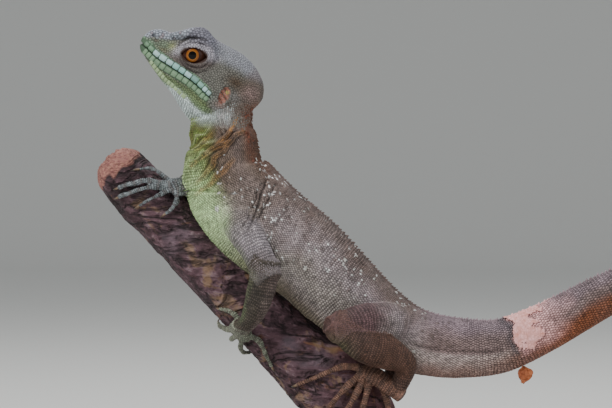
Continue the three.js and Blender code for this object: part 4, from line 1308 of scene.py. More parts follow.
@dataclass
class Skin:
    """The one skin over all the flesh.

    Attributes:
        voxel: The grid that the forms are fused on.
        inset: How far the skin lies inside the solids, for the scales.
        triangles: About how many it keeps.
        lid_points: How many points the edge between the lids has.
    """

    flesh: Flesh
    voxel: float = 0.42
    inset: float = 0.22
    triangles: int = 176000
    lid_points: int = 60
    piece: bpy.types.Object | None = None

    def fuse(self) -> None:
        """Joins every form into one closed surface."""
        cluster = Cluster()
        for places, corners in [form.shell(-self.inset) for form in self.flesh.forms] + self.flesh.brows():
            cluster.add(places, corners)
        self.piece = cluster.piece("skin")
        modify(self.piece, "REMESH", mode="VOXEL", voxel_size=self.voxel * MM, use_smooth_shade=True)
        modify(self.piece, "SMOOTH", factor=0.5, iterations=4)
        places = points_of(self.piece)
        weight = np.zeros(len(places))
        for x, y, z, reach in JOINS:
            for sign in (-1, 1):
                away = np.sum((places - (x, sign * y, z)) ** 2, axis=1)
                weight = np.maximum(weight, np.exp(-away / reach**2))
        self.group("joins", weight)
        modify(self.piece, "SMOOTH", factor=0.6, iterations=36, vertex_group="joins")

    def group(self, name: str, weight: Array) -> None:
        """Stores a weight for each vertex, in ten steps."""
        group = self.piece.vertex_groups.new(name=name)
        steps = np.round(weight * 10).astype(int)
        for step in range(1, 11):
            chosen = np.nonzero(steps == step)[0]
            if len(chosen):
                group.add(chosen.tolist(), step / 10, "REPLACE")

    def sculpt(self) -> None:
        """Adds the mouth, nostrils, ears, folds of the throat and hollows of the face."""
        places, normals = points_of(self.piece), normals_of(self.piece)
        lift = np.zeros(len(places))
        near = (places[:, 0] < -28) & (places[:, 2] > 186)
        lift[near] = self.face(self.flesh.head.into(places[near]))
        ring = ~near & (places[:, 0] < 66)
        lift[ring] += self.loose(places[ring])
        lift += 0.05 * grain(places, 1.6, 2)
        places = self.flesh.perch.clear(places + normals * lift[:, None], 0.12)
        move_points(self.piece, places)

    def face(self, local: Array) -> Array:
        """How far the face rises or sinks at places in the head's frame."""
        x, y, z = local.T
        head = self.flesh.head
        gap = z - head.mouth_level(x)
        corner = 1 - smooth(33, 35.5, x)
        lift = -0.85 * bump(0, 0.36, gap) * corner
        lips = smooth(0.3, 0.8, np.abs(gap)) * (1 - smooth(2.3, 2.9, np.abs(gap)))
        lift += 0.22 * lips * corner
        nose, ear = head.from_nostril(x, z), head.from_ear(x, z)
        lift += np.where(np.abs(y) > 2.6, 0.28 * bump(1.25, 0.4, nose) - bump(0, 0.62, nose), 0)
        drum = 0.3 * bump(1.2, 0.18, ear) - 0.85 * (1 - smooth(0.72, 1.02, ear))
        lift += np.where(np.abs(y) > 6, drum, 0)
        lift -= 0.55 * bump(10.5, 4.0, x) * bump(3.6, 2.6, z) * side_mask(y, 3)
        lift -= 0.5 * bump(31.5, 4.0, x) * bump(2.6, 3.0, z) * side_mask(y, 6)
        lift += 0.6 * bump(32.5, 4.5, x) * bump(-12.0, 3.6, z) * side_mask(y, 5)
        far = head.from_opening(x, z)
        lift += side_mask(y, 5) * 0.14 * np.sin((far - 1.08) * 15) * bump(1.45, 0.42, far)
        for line in FACE_LINES:
            lift += line.lift(local)
        crown = smooth(3, 9, z) * bump(0, 2.4, y) * smooth(24, 34, x)
        return lift + 0.35 * crown

    def loose(self, places: Array) -> Array:
        """How far the loose skin of the throat, shoulders and tail base rises."""
        share, angle, _ = self.along_body(places)
        row = share * (len(self.flesh.names) - 1)
        low = np.abs(angle) / math.pi
        mask, wave = fold_wave(row, low, places)
        lift = mask * 0.34 * wave + 0.3 * neck_ridges(row, low, places)
        front = places[:, 0] < -10
        for wrinkle in WRINKLES:
            lift[front] += wrinkle.lift(places[front])
        along = smooth(9.7, 10.6, row) * (1 - smooth(12.8, 13.3, row))
        groove = bump(0.53, 0.035, low + 0.02 * grain(places, 6, 35))
        lift += along * (0.3 * bump(0.66, 0.1, low) - 0.75 * groove)
        return lift + 0.22 * grain(places, 3.4, 36) * smooth(1, 3, row) * (1 - smooth(9, 12, row))

    def along_body(self, places: Array) -> tuple[Array, Array, Array]:
        """Where places stand on the body's line.

        Args:
            places: Places in millimetres.

        Returns:
            The share of the line, the angle round it and the distance from it.
        """
        table = self.flesh.body.table
        index = nearest(look_up(table["centre"]), places)
        away = places - table["centre"][index]
        sideways = np.sum(away * table["side"][index], axis=1)
        upward = np.sum(away * table["dorsal"][index], axis=1)
        return table["share"][index], np.arctan2(sideways, upward), np.hypot(sideways, upward)

    def thin_out(self) -> None:
        """Drops triangles where the surface is plain and keeps the face, hands and feet."""
        places = points_of(self.piece)
        away = np.linalg.norm(np.cross(places - self.flesh.perch.start, self.flesh.perch.along), axis=1)
        grip = (away < 20) & (np.abs(places[:, 1] - 5) > 7) & (places[:, 2] > 60) & (places[:, 2] < 180)
        self.group("plain", np.where(at_head(places), 0.05, np.where(grip, 0.5, 1.0)))
        now = sum(len(p.vertices) - 2 for p in self.piece.data.polygons)
        modify(self.piece, "DECIMATE", ratio=min(1.0, self.triangles / now), vertex_group="plain",
               vertex_group_factor=1.0)

    def open_eyes(self) -> None:
        """Cuts the sockets and the almond openings between the lids."""
        head = self.flesh.head
        for side in Side:
            bpy.ops.object.select_all(action="DESELECT")
            bpy.ops.mesh.primitive_uv_sphere_add(segments=64, ring_count=40, radius=1)
            socket = bpy.context.object
            radii = np.array(head.eye_radii) + 0.12
            centre = np.array(head.eye) * (1, side.value, 1)
            move_points(socket, head.out(points_of(socket) * MM * radii + centre))
            self.carve(socket)
            turn = np.linspace(0, 2 * math.pi, self.lid_points, endpoint=False)
            back, up = head.almond(turn)
            rings = [np.stack([back, np.full(len(turn), side.value * y), up], axis=1) for y in (6.0, 15.0)]
            count = self.lid_points
            faces = [tuple(range(count)), tuple(range(2 * count - 1, count - 1, -1))]
            faces += [(i, count + i, count + (i + 1) % count, (i + 1) % count) for i in range(count)]
            self.carve(mesh_piece("wedge", head.out(np.vstack(rings)), faces))

    def carve(self, tool: bpy.types.Object) -> None:
        """Cuts a closed tool out of the skin and removes the tool."""
        only(tool)
        bpy.ops.object.mode_set(mode="EDIT")
        bpy.ops.mesh.select_all(action="SELECT")
        bpy.ops.mesh.normals_make_consistent(inside=False)
        bpy.ops.object.mode_set(mode="OBJECT")
        modify(self.piece, "BOOLEAN", operation="DIFFERENCE", object=tool, solver="MANIFOLD")
        bpy.data.objects.remove(tool, do_unlink=True)

    def build(self) -> None:
        """Makes the whole surface, ready for its colours."""
        self.fuse()
        self.sculpt()
        self.thin_out()
        self.open_eyes()
        modify(self.piece, "TRIANGULATE")
        log.info("skin surface: %d triangles", len(self.piece.data.polygons))


def side_mask(y: Array, least: float) -> Array:
    """1 on the flanks, past a distance from the middle."""
    return smooth(least - 1, least + 1, np.abs(y))


def torn_edge(places: Array, low: Array) -> Array:
    """How far along X the old skin on the tail is torn away, by the height on its side."""
    return 60.0 + 8.5 * low + grain(places, 3.0, 51) * 1.3 + grain(places, 0.9, 84) * 0.6


# Patches on the face: tone, place back and up, half length, half height, and strength.
FACE_PATCHES = (
    (srgb(98, 116, 96), 3.5, 0.6, 4.0, 2.6, 0.9), (srgb(110, 126, 104), 9.5, 2.4, 4.0, 2.2, 0.8),
    (srgb(142, 146, 84), 12.4, 3.0, 2.0, 1.6, 0.85), (srgb(92, 86, 56), 9.4, 0.7, 2.8, 0.7, 0.7),
    (srgb(84, 62, 54), 4.7, 2.7, 1.3, 0.7, 0.6), (Tone.CROWN_BROWN, 40.2, 1.8, 4.2, 2.6, 0.9),
    (srgb(132, 110, 106), 47.0, 0.5, 3.2, 3.0, 0.8), (srgb(114, 112, 110), 42.0, -3.6, 2.6, 2.0, 0.8),
    (srgb(150, 150, 150), 40.6, -12.0, 3.4, 3.0, 0.85), (srgb(140, 110, 102), 38.6, -8.8, 2.0, 1.2, 0.6),
    (srgb(140, 80, 60), 51.0, -4.5, 1.8, 3.0, 0.6), (srgb(120, 136, 128), 31.5, -7.6, 3.0, 1.4, 0.8),
)


@dataclass
class Markings:
    """The animal's colours, worked out from where a place is on it."""

    flesh: Flesh

    def body(self, row: Array, low: Array, places: Array) -> Array:
        """Colours of the neck, trunk and tail.

        Args:
            row: Which section, counted along the body.
            low: 0 at the middle of the back, 1 at the middle of the belly.
            places: The places in millimetres.

        Returns:
            One colour for each place.
        """
        cloud, x = grain(places, 7, 41), places[:, 0]
        bars = smooth(0.35, 0.9, np.sin(row * 5.2 + cloud * 1.6)) * (1 - smooth(0.3, 0.6, low))
        blotch = grain(places, 5, 52) + 0.6 * grain(places, 2.6, 53)
        chest = bump(4.0, 1.4, row) * smooth(0.56, 0.74, low + cloud * 0.04)
        colour = layered(
            Tone.FLANK,
            (Tone.BACK, 1 - smooth(0.18, 0.42, low + cloud * 0.05)),
            (Tone.BACK_DARK, 0.75 * (1 - smooth(0.02, 0.12, low))),
            (Tone.BACK_DARK, 0.3 * bars),
            (Tone.OLIVE, 0.35 * bump(0.62, 0.16, low + cloud * 0.08)),
            (srgb(108, 88, 82), 0.3 * smooth(0.1, 0.9, blotch) * (1 - smooth(0.5, 0.66, low))),
            (Tone.NECK, 0.75 * bump(4.4, 1.3, row) * bump(0.4, 0.22, low + cloud * 0.05)),
            (Tone.BELLY, smooth(0.68, 0.85, low + cloud * 0.05)),
            (self.neck(row, low, places, cloud), 1 - smooth(2.9, 4.4, row + cloud * 0.5 - low * 0.4)),
            (Tone.CHEST, chest * 0.9))
        orange, shade = np.zeros(len(places)), np.zeros(len(places))
        front = x < -30
        for wrinkle in WRINKLES:
            if wrinkle.stain:
                orange[front] = np.maximum(orange[front], wrinkle.top(places[front]) * wrinkle.stain)
                shade[front] = np.maximum(shade[front], wrinkle.foot(places[front]) * wrinkle.stain)
        torn = x - torn_edge(places, low)
        shed = smooth(-0.6, 0.6, torn) * (1 - smooth(70, 88, x + cloud * 6)) * (row > 11)
        shed *= 1 - 0.9 * smooth(0.62, 0.78, low + cloud * 0.04)
        # Painted shade: the skin at the foot of each throat ridge is darkened to half; the ridges' tops take
        # their orange.
        colour = layered(
            blend(colour, colour * 0.5, shade * 0.8),
            (Tone.FOLD, orange),
            (self.tail(row, low, cloud), smooth(9.6, 11.2, row)),
            (Tone.SHED * 0.75, shed * 0.85),
            (Tone.BAND, bump(-1.6, 1.5, torn) * (row > 11) * (1 - smooth(0.6, 0.7, low)) * 0.7))
        return colour * (1 + 0.16 * grain(places, 2.2, 42) + 0.1 * grain(places, 4, 47))[:, None]

    @staticmethod
    def neck(row: Array, low: Array, places: Array, cloud: Array) -> Array:
        """Colours of the neck and throat, with cloud to break up their edges."""
        under = smooth(0.5, 0.7, low + cloud * 0.08)
        mask, wave = fold_wave(row, low, places)
        collar = 1 - smooth(0.75, 1.2, row + cloud * 0.15)
        collar = collar * smooth(0.34, 0.44, low) * (1 - smooth(0.7, 0.85, low))
        ridge = neck_ridges(row, low, places)
        stripe = bump(0.22, 0.06, low + cloud * 0.03) * (1 - smooth(1.8, 3.2, row))
        return layered(
            Tone.NECK,
            (Tone.NAPE, 1 - smooth(0.16, 0.3, low)),
            (Tone.BACK, bump(0.36, 0.08, low + cloud * 0.05) * 0.7),
            (Tone.LIME, under),
            (Tone.CHEST, under * smooth(2.6, 4.2, row)),
            # The folds are paler on their crests and darker in their creases: partly their own colours,
            # partly painted highlight and shade.
            (Tone.FOLD_PALE, mask * 0.75 * smooth(0.0, 0.8, wave)),
            (Tone.FOLD_DARK, mask * 0.8 * smooth(0.2, 0.9, -wave)),
            (Tone.GULAR * 0.85, collar * 0.8),
            # The ridges are paler on top and darker between: partly their own colours, partly painted
            # highlight and shade.
            (srgb(128, 118, 110), np.clip(ridge, 0, 1) * 0.6),
            (srgb(72, 50, 42), np.clip(-ridge, 0, 1) * 0.6),
            (srgb(118, 72, 56), stripe * 0.45))

    @staticmethod
    def tail(row: Array, low: Array, cloud: Array) -> Array:
        """Colours of the tail, with cloud to break up their edges."""
        pale = smooth(0.52, 0.58, low) * (1 - smooth(0.8, 0.95, low)) * (1 - smooth(13.0, 13.7, row))
        rust = smooth(0.58, 0.8, low + cloud * 0.06 + 0.15 * smooth(11.6, 14.4, row))
        rings = smooth(0.1, 0.9, np.sin(row * 4.1 + 0.8)) * smooth(14.6, 16.5, row)
        return layered(
            Tone.TAIL_SIDE,
            (Tone.TAIL_PALE, pale * 0.9),
            (Tone.TAIL_TOP, 1 - smooth(0.22, 0.42, low + cloud * 0.05)),
            (Tone.TAIL_LOW, rust * (0.45 + 0.55 * smooth(12.5, 14.6, row))),
            (Tone.BACK_DARK, rings * 0.5))

    def head(self, local: Array) -> Array:
        """Colours of the head, at places in its own frame."""
        head = self.flesh.head
        x, y, z = local.T
        cloud, small = grain(local, 4.5, 43), grain(local, 1.3, 44)
        gap = z - head.mouth_level(x)
        top = smooth(-0.9, 0.9, z - 1.7 - 0.4 * x + cloud * 0.6) * (1 - smooth(13, 17, x))
        rust = smooth(40, 45, x + cloud * 2 - z * 0.25) * smooth(-12, -6, z + cloud * 2)
        colour = layered(
            # The casque's upper part and the top of the snout are paler and bluer: partly their own colour,
            # partly painted highlight on the surfaces that face up.
            Tone.CHEEK,
            (Tone.CASQUE, smooth(4.5, 9.0, z + cloud) * smooth(22, 28, x) * 0.85),
            (Tone.CROWN, smooth(7.0, 10.0, z + cloud) * (1 - smooth(24, 30, x))),
            (Tone.SNOUT, top),
            (srgb(104, 84, 86), top * 0.65 * smooth(0.2, 0.6, small)),
            (Tone.NAPE, rust * 0.4))
        for tone, back, up, long, tall, amount in FACE_PATCHES:
            spot = np.exp(-(((x - back) / long) ** 2) - ((z - up + cloud * 0.4) / tall) ** 2)
            colour = blend(colour, tone, spot * amount * (1 - 0.9 * top))
        lip = (1 - smooth(2.6, 3.1, np.abs(gap))) * (1 - smooth(31, 35, x))
        middle = np.interp(x, (7, 15, 22, 26, 30, 36), (-6.4, -8.3, -8.4, -9.0, -10.4, -11.5))
        wide = np.interp(x, (7, 15, 22, 28, 34, 37), (0.5, 0.6, 1.0, 1.7, 1.5, 0.8))
        below = smooth(0.4, 2.2, middle - wide - z + cloud * 0.5) * smooth(8, 20, x) * (1 - smooth(38, 44, x))
        wedge = bump(0, 1, (z - middle + cloud * 0.3) / wide) * (1 - smooth(33, 37, x))
        far, side = head.from_opening(x, z), side_mask(y, 5)
        # The lids are paler towards the top: partly their own pale colour, partly a painted highlight.
        lids = blend(Tone.LID_LOW, Tone.LID, smooth(1.0, 5.0, z - (x - 21) * 0.3))
        colour = layered(
            colour,
            (Tone.LIP_DEEP, lip),
            (Tone.JAW, smooth(2.9, 3.6, -gap) * (1 - smooth(33, 40, x)) * 0.9),
            (Tone.GULAR, below * 0.92),
            (blend(Tone.WEDGE, srgb(90, 102, 60), smooth(20, 32, x)), wedge * 0.65),
            (Tone.LIME, (1 - smooth(-19.0, -16.0, z + cloud)) * smooth(27, 33, x) * 0.7),
            (lids, bump(1.4, 0.5, far) * side * 0.85))
        # Painted shade: each line of the face is darkened along its crease.
        for line in FACE_LINES:
            colour = blend(colour, srgb(50, 40, 40), line.top(local) * line.stain * 0.8)
        aside = side_mask(y, 6)
        drum = (1 - smooth(0.85, 1.05, head.from_ear(x, z))) * aside
        streak = np.sin(z * 2.6 + x * 1.7 + cloud * 2)
        ring = bump(0, 0.4, np.hypot(x - 38.9, z + 3.0) - 0.3) * aside
        colour = layered(
            colour,
            # The lid margins round the opening are dark brown: partly their own colour, partly painted shade
            # under the lids.
            (srgb(54, 34, 27), (1 - smooth(1.02, 1.14, far)) * side),
            (Tone.EAR, drum),
            (srgb(54, 32, 28), drum * smooth(0.1, 0.7, streak) * 0.75),
            (srgb(176, 128, 120), drum * smooth(0.5, 0.9, -streak) * 0.5),
            (srgb(190, 176, 96), ring * 0.85))
        return colour * (1 + 0.12 * small)[:, None]

    def limb(self, part: Part, share: Array, places: Array, facing: Array) -> Array:
        """Colours of a limb, hand or foot.

        Args:
            part: Which it is.
            share: How far along it.
            places: The places in millimetres.
            facing: 1 where the place looks forward, towards -X, and -1 where it looks back.

        Returns:
            One colour for each place.
        """
        cloud = grain(places, 4, 45)
        above, beyond = {
            Part.ARM: (Tone.ARM, Tone.FOREARM),
            Part.LEG: (Tone.THIGH, Tone.SHIN),
            Part.HAND: (Tone.HAND, Tone.HAND),
            Part.FOOT: (Tone.FOOT, Tone.FOOT),
        }[part]
        first, last = (0.36, 0.62) if part is Part.ARM else (0.2, 0.8)
        colour = blend(above, beyond, smooth(first, last, share + cloud * 0.1))
        if part is Part.ARM:
            elbow = smooth(0.4, 0.6, share) * smooth(0.1, 0.7, -facing + cloud * 0.3)
            inner = smooth(0.6, 0.95, facing + cloud * 0.15) * smooth(0.15, 0.3, share)
            colour = layered(
                colour,
                (Tone.BACK, elbow * 0.7),
                # Painted shade in the forward bend of the elbow.
                (srgb(58, 54, 50), bump(0.52, 0.16, share) * smooth(-0.2, 0.4, facing) * 0.75),
                (Tone.INNER, inner * (1 - bump(0.5, 0.12, share)) * 0.6))
        elif part is Part.LEG:
            knee = 1 - smooth(-6, 6, places[:, 0] + cloud * 2)
            knee = knee * (1 - smooth(100, 112, places[:, 2] + cloud * 2))
            colour = blend(colour, srgb(82, 82, 58), knee * 0.85)
        elif part is Part.HAND:
            colour = blend(colour, Tone.HAND_PALE, (1 - smooth(-68, -60, places[:, 0])) * 0.85)
        turns, dark, pale = (40, 0.45, 0.5) if part in (Part.HAND, Part.FOOT) else (21, 0.3, 0.15)
        rings = np.sin(share * turns + cloud * 1.4)
        colour = blend(colour, Tone.BACK_DARK, smooth(0.2, 0.9, rings) * dark)
        colour = blend(colour, colour * 1.5, smooth(0.2, 0.9, -rings) * pale)
        return colour * (1 + 0.2 * grain(places, 1.4, 46) + 0.12 * grain(places, 2.4, 48))[:, None]


@dataclass
class Scales:
    """Scale roots gathered over one stretch of hide."""

    root: Array
    normal: Array
    along: Array
    size: Array
    colour: Array
    chart: Array
    keel: Array

    @staticmethod
    def join(groups: "Sequence[Scales]") -> "Scales":
        """Puts several stretches together."""
        return Scales(*(np.concatenate(parts) for parts in zip(*(vars(group).values() for group in groups))))

    def chosen(self, which: Array) -> "Scales":
        """Some of the scales."""
        return Scales(*(values[which] for values in vars(self).values()))


# A keeled scale and a bead: six corners of a rim, the top and the root.
RING = np.array([(-0.36, -0.5, -0.3), (0.36, -0.5, -0.3), (0.53, 0.04, 0.0), (0.2, 0.56, 0.3),
                 (-0.2, 0.56, 0.3), (-0.53, 0.04, 0.0), (0.0, -0.02, 0.55), (0.0, 0.1, -0.8)])
BEAD = np.array([(0.44, 0.25, -0.15), (0.0, 0.52, -0.15), (-0.44, 0.25, -0.15), (-0.44, -0.25, -0.15),
                 (0.0, -0.52, -0.15), (0.44, -0.25, -0.15), (0.0, 0.0, 0.6), (0.0, 0.0, -0.8)])
# Painted light on each corner: painted shade at the rim and the root, a painted highlight on the top.
RING_SHADE = np.array([0.3, 0.3, 0.5, 1.0, 1.0, 0.5, 1.34, 0.3])
BEAD_SHADE = np.array([0.8] * 6 + [1.1, 0.5])


@dataclass
class Coat:
    """The scales over the skin.

    Attributes:
        skin: The surface they stand on.
        markings: Their colours.
        seed: The pattern of their small differences.
        ring_points: How many points measure the way round a form.
        tries: How many places on each square millimetre are tried for a plate.
    """

    skin: Skin
    markings: Markings
    seed: int = 7
    ring_points: int = 97
    tries: int = 20
    grown: list[Scales] = field(default_factory=list)

    def __post_init__(self) -> None:
        """Prepares the look-up of the skin's surface."""
        mesh = self.skin.piece.data
        faces = [tuple(face.vertices) for face in mesh.polygons]
        self.tree = BVHTree.FromPolygons([vert.co for vert in mesh.vertices], faces)
        self.chance = np.random.default_rng(self.seed)

    def rows(self, form: Form, start: float, end: float, lengthwise: Callable[[float], float],
             crosswise: Callable[[float], float], stagger: float = 0.5) -> tuple[Array, Array, Array]:
        """Sets out rows of scales round a form, each row shifted by half a scale.

        Args:
            form: The form.
            start: The share where they start.
            end: The share where they end.
            lengthwise: The spacing of the rows at a share.
            crosswise: The spacing in a row at a share.
            stagger: How far every second row is shifted, in scales.

        Returns:
            The shares, the angles, and the length and width of each.
        """
        turn = np.linspace(-math.pi, math.pi, self.ring_points)
        shares, angles, sizes = [], [], []
        share, index = start, 0
        while share < end:
            ring = form.surface(np.full(self.ring_points, share), turn)
            run = np.concatenate([[0], np.cumsum(np.linalg.norm(np.diff(ring, axis=0), axis=1))])
            wide, long = crosswise(share), lengthwise(share)
            count = max(6, round(run[-1] / wide))
            at = (np.arange(count) + (index % 2) * stagger) / count * run[-1]
            angles.append(np.interp(at, run, turn))
            shares.append(np.full(count, share))
            sizes.append(np.tile((run[-1] / count, long), (count, 1)))
            share += long / form.track.length
            index += 1
        return np.concatenate(shares), np.concatenate(angles), np.concatenate(sizes)

    def stand(self, form: Form, share: Array, angle: Array, size: Array,
              paint: Callable[[Array, Array, Array], Array], chart: tuple[float, float, float, float],
              keep: Callable[[Array], Array] | None = None) -> Scales:
        """Puts scales on the skin, and drops those that another form hides.

        Args:
            form: The form that they follow.
            share: Where along it.
            angle: Where round it.
            size: The width and length of each.
            paint: Gives colours from share, angle and place.
            chart: The piece of the unwrap that they take: left, bottom, width and height.
            keep: Tells which to keep from their places.

        Returns:
            The scales.
        """
        jitter = self.chance.normal(0, 0.06, len(share))
        wave = grain(form.surface(share, angle), 3.6, 95) * 0.4
        share = share + (jitter * size[:, 1] + wave) / form.track.length
        place = form.surface(share, angle, -self.skin.inset)
        ahead = form.surface(np.minimum(share + 0.6 / form.track.length, 1.0), angle, -self.skin.inset)
        back = form.surface(share - 0.6 / form.track.length, angle, -self.skin.inset)
        inner = form.track.read("centre", share)
        inner = form.head.out(inner) if form.head else inner
        roots, normals, kept = [], [], []
        for index, (at, away) in enumerate(zip(place, place - inner)):
            hit, normal, _, _ = self.tree.find_nearest(Vector(at * MM), SKIN_REACH)
            if hit is not None and normal.dot(Vector(away)) > 0.1:
                roots.append(hit)
                normals.append(normal)
                kept.append(index)
        root, normal = np.array(roots) / MM, np.array(normals)
        share, angle, size = share[kept], angle[kept], size[kept]
        along = across((ahead - back)[kept], normal)
        chosen = np.ones(len(root), bool) if keep is None else keep(root)
        twist = self.chance.normal(0, 0.07, len(root))[:, None]
        along = unit(along + np.cross(normal, along) * twist)
        size = size * self.chance.normal(1, 0.05, (len(root), 1))
        left, bottom, width, height = chart
        spot = np.stack([left + width * share, bottom + height * (angle / (2 * math.pi) + 0.5)], axis=1)
        colour = paint(share, angle, root) * self.chance.normal(1, 0.17, (len(root), 1))
        return Scales(root, normal, along, size, colour, spot, np.ones(len(root))).chosen(chosen)

    def scatter(self, region: Callable[[Array], Array], spacing: Callable[[Array], Array],
                paint: Callable[[Array], Array], chart: Callable[[Array], Array]) -> Scales:
        """Spreads scales evenly over part of the skin, none nearer than their spacing.

        Args:
            region: Tells which places take them.
            spacing: The least distance at each place.
            paint: Gives colours from places.
            chart: Gives spots on the unwrap from places.

        Returns:
            The scales.
        """
        mesh = self.skin.piece.data
        corners = np.empty(len(mesh.loops), np.int32)
        mesh.loops.foreach_get("vertex_index", corners)
        places, normals = points_of(self.skin.piece), normals_of(self.skin.piece)
        corners = corners.reshape(-1, 3)
        corners = corners[region(places[corners].mean(axis=1))]
        sides = places[corners]
        area = np.linalg.norm(np.cross(sides[:, 1] - sides[:, 0], sides[:, 2] - sides[:, 0]), axis=1) / 2
        total = int(area.sum() * self.tries)
        pick = self.chance.choice(len(area), total, p=area / area.sum())
        part = self.chance.random((total, 2))
        part = np.where(part.sum(axis=1, keepdims=True) > 1, 1 - part, part)
        weights = np.column_stack([1 - part.sum(axis=1), part])[..., None]
        spots = (sides[pick] * weights).sum(axis=1)
        normal = unit((normals[corners[pick]] * weights).sum(axis=1))
        spots, normal = spots[region(spots)], normal[region(spots)]
        gaps = spacing(spots)
        size = float(gaps.max())
        keys = np.floor(spots / size).astype(int)
        grid: dict[tuple[int, int, int], list[int]] = {}
        kept = []
        around = [(a, b, c) for a in (-1, 0, 1) for b in (-1, 0, 1) for c in (-1, 0, 1)]
        rows = spots.tolist()
        for index, (x, y, z) in enumerate(rows):
            kx, ky, kz = keys[index].tolist()
            least = float(gaps[index]) ** 2
            clear = True
            for a, b, c in around:
                for other in grid.get((kx + a, ky + b, kz + c), ()):
                    ox, oy, oz = rows[other]
                    if (ox - x) ** 2 + (oy - y) ** 2 + (oz - z) ** 2 < least:
                        clear = False
                        break
                if not clear:
                    break
            if clear:
                grid.setdefault((kx, ky, kz), []).append(index)
                kept.append(index)
        root, normal, gaps = spots[kept], normal[kept], gaps[kept]
        along = across(np.tile(self.skin.flesh.head.turn[:, 0], (len(root), 1)), normal)
        colour = paint(root) * self.chance.normal(1, 0.09, (len(root), 1))
        size = np.stack([gaps, gaps], axis=1)
        return Scales(root, normal, along, size, colour, chart(root), np.zeros(len(root)))

    def plates(self, name: str, scales: Scales, height: float, finish: bpy.types.Material) -> None:
        """Makes one piece of closed plates that reach to the middle between them and their neighbours."""
        tree = look_up(scales.root)
        near = np.array([[hit[1] for hit in tree.find_n(root, 11)][1:] for root in scales.root])
        away = scales.root[near] - scales.root[:, None]
        sideways = np.cross(scales.along, scales.normal)
        u = np.sum(away * sideways[:, None], axis=2)
        v = np.sum(away * scales.along[:, None], axis=2)
        turn = np.arange(8) * math.pi / 4 + math.pi / 8
        facing = np.cos(turn[None, :, None] - np.arctan2(v, u)[:, None, :])
        half = np.hypot(u, v)[:, None, :] / 2 / np.maximum(facing, 0.15)
        half = np.where(facing > 0.15, half, 99).min(axis=2)
        half = np.minimum(half, scales.size[:, :1] * 0.82)
        rim, inner = half * 0.97, half * 0.66
        tall = scales.size[:, :1] * height
        level = tall * (0.85 - 0.18 * np.sin(turn))[None, :]
        local = np.zeros((len(half), 18, 3))
        local[:, :8] = np.stack([rim * np.cos(turn), rim * np.sin(turn), tall * -0.25 + 0 * rim], axis=2)
        local[:, 8:16] = np.stack([inner * np.cos(turn), inner * np.sin(turn), level], axis=2)
        local[:, 16, 2] = tall[:, 0] * 1.08
        local[:, 17, 2] = -scales.size[:, 0] * 0.28
        faces = []
        for i in range(8):
            j = (i + 1) % 8
            faces += [(i, j, 8 + j), (i, 8 + j, 8 + i), (8 + i, 8 + j, 16), (j, i, 17)]
        # Painted shade at the rim and the root, and a painted highlight on the top.
        shade = np.array([0.64] * 8 + [1.0] * 8 + [1.1, 0.4])
        self.grow(name, scales, local, faces, shade, local[..., :2], finish)

    def make(self, name: str, scales: Scales, height: float, finish: bpy.types.Material) -> None:
        """Makes one piece of many closed scales.

        Args:
            name: The piece's name.
            scales: Where they stand.
            height: How thick a scale is against its width.
            finish: Its material.
        """
        keeled = scales.keel[:, None] > 0.5
        shape = np.where(keeled[..., None], RING[None], BEAD[None])
        wide, long = scales.size[:, 0, None], scales.size[:, 1, None]
        local = shape * np.stack([wide * 1.02, long * 1.02, np.minimum(wide, long) * height], axis=2)
        faces = []
        for i in range(6):
            j = (i + 1) % 6
            faces += [(6, i, j), (7, j, i)]
        shade = np.where(keeled, RING_SHADE[None], BEAD_SHADE[None])
        self.grow(name, scales, local, faces, shade, shape[..., :2], finish)

    def grow(self, name: str, scales: Scales, local: Array, faces: Sequence[tuple[int, ...]], shade: Array,
             flat: Array, finish: bpy.types.Material) -> None:
        """Makes one piece of scales that are all built alike, with its place on the unwrap of the skin.

        Args:
            name: The piece's name.
            scales: Where they stand.
            local: Each scale's corners: sideways, along and out.
            faces: The triangles of one scale.
            shade: How light each corner is.
            flat: How far each corner lies from the scale's spot on the unwrap.
            finish: Its material.
        """
        sideways = np.cross(scales.along, scales.normal)
        verts = scales.root[:, None] + sideways[:, None] * local[..., :1]
        verts = verts + scales.along[:, None] * local[..., 1:2] + scales.normal[:, None] * local[..., 2:3]
        starts = (np.arange(len(local)) * local.shape[1])[:, None, None]
        piece = mesh_piece(name, verts.reshape(-1, 3), (starts + np.array(faces)[None]).reshape(-1, 3))
        tint(piece, (scales.colour[:, None] * shade[..., None]).reshape(-1, 3))
        spots = (scales.chart[:, None] + flat * CHART_STEP).reshape(-1, 2)
        corner = np.empty(len(piece.data.loops), np.int32)
        piece.data.loops.foreach_get("vertex_index", corner)
        layer = piece.data.uv_layers.new(name="OFBake")
        layer.data.foreach_set("uv", spots[corner].astype(np.float32).ravel())
        settle(piece, "skin", finish)
        self.grown.append(scales)

    def on_body(self, finish: bpy.types.Material) -> None:
        """Covers the neck, trunk and tail."""
        flesh, form = self.skin.flesh, self.skin.flesh.forms[0]
        last = len(flesh.names) - 1

        def paint(share: Array, angle: Array, places: Array) -> Array:
            """The markings at these scales."""
            colour = self.markings.body(share * last, np.abs(angle) / math.pi, places)
            flecks = smooth(0.55, 0.7, grain(places, 0.95, 61)) * smooth(-0.2, 0.5, grain(places, 9, 62))
            flecks *= (share * last < 10.8) & (share * last > 2.6) & (np.abs(angle) < 2.1)
            dark = smooth(0.5, 0.7, grain(places, 1.3, 64)) * (np.abs(angle) < 1.5) * (share * last < 12)
            colour = blend(colour, Tone.BACK_DARK, dark * 0.6)
            return blend(colour, Tone.FLECK, flecks * 0.9)

        def spacing(names: Sequence[str], values: Sequence[float]) -> Callable[[float], float]:
            """A spacing that changes from section to section."""
            knots = [flesh.station(name) for name in names]
            return lambda share: float(np.interp(share, knots, values))

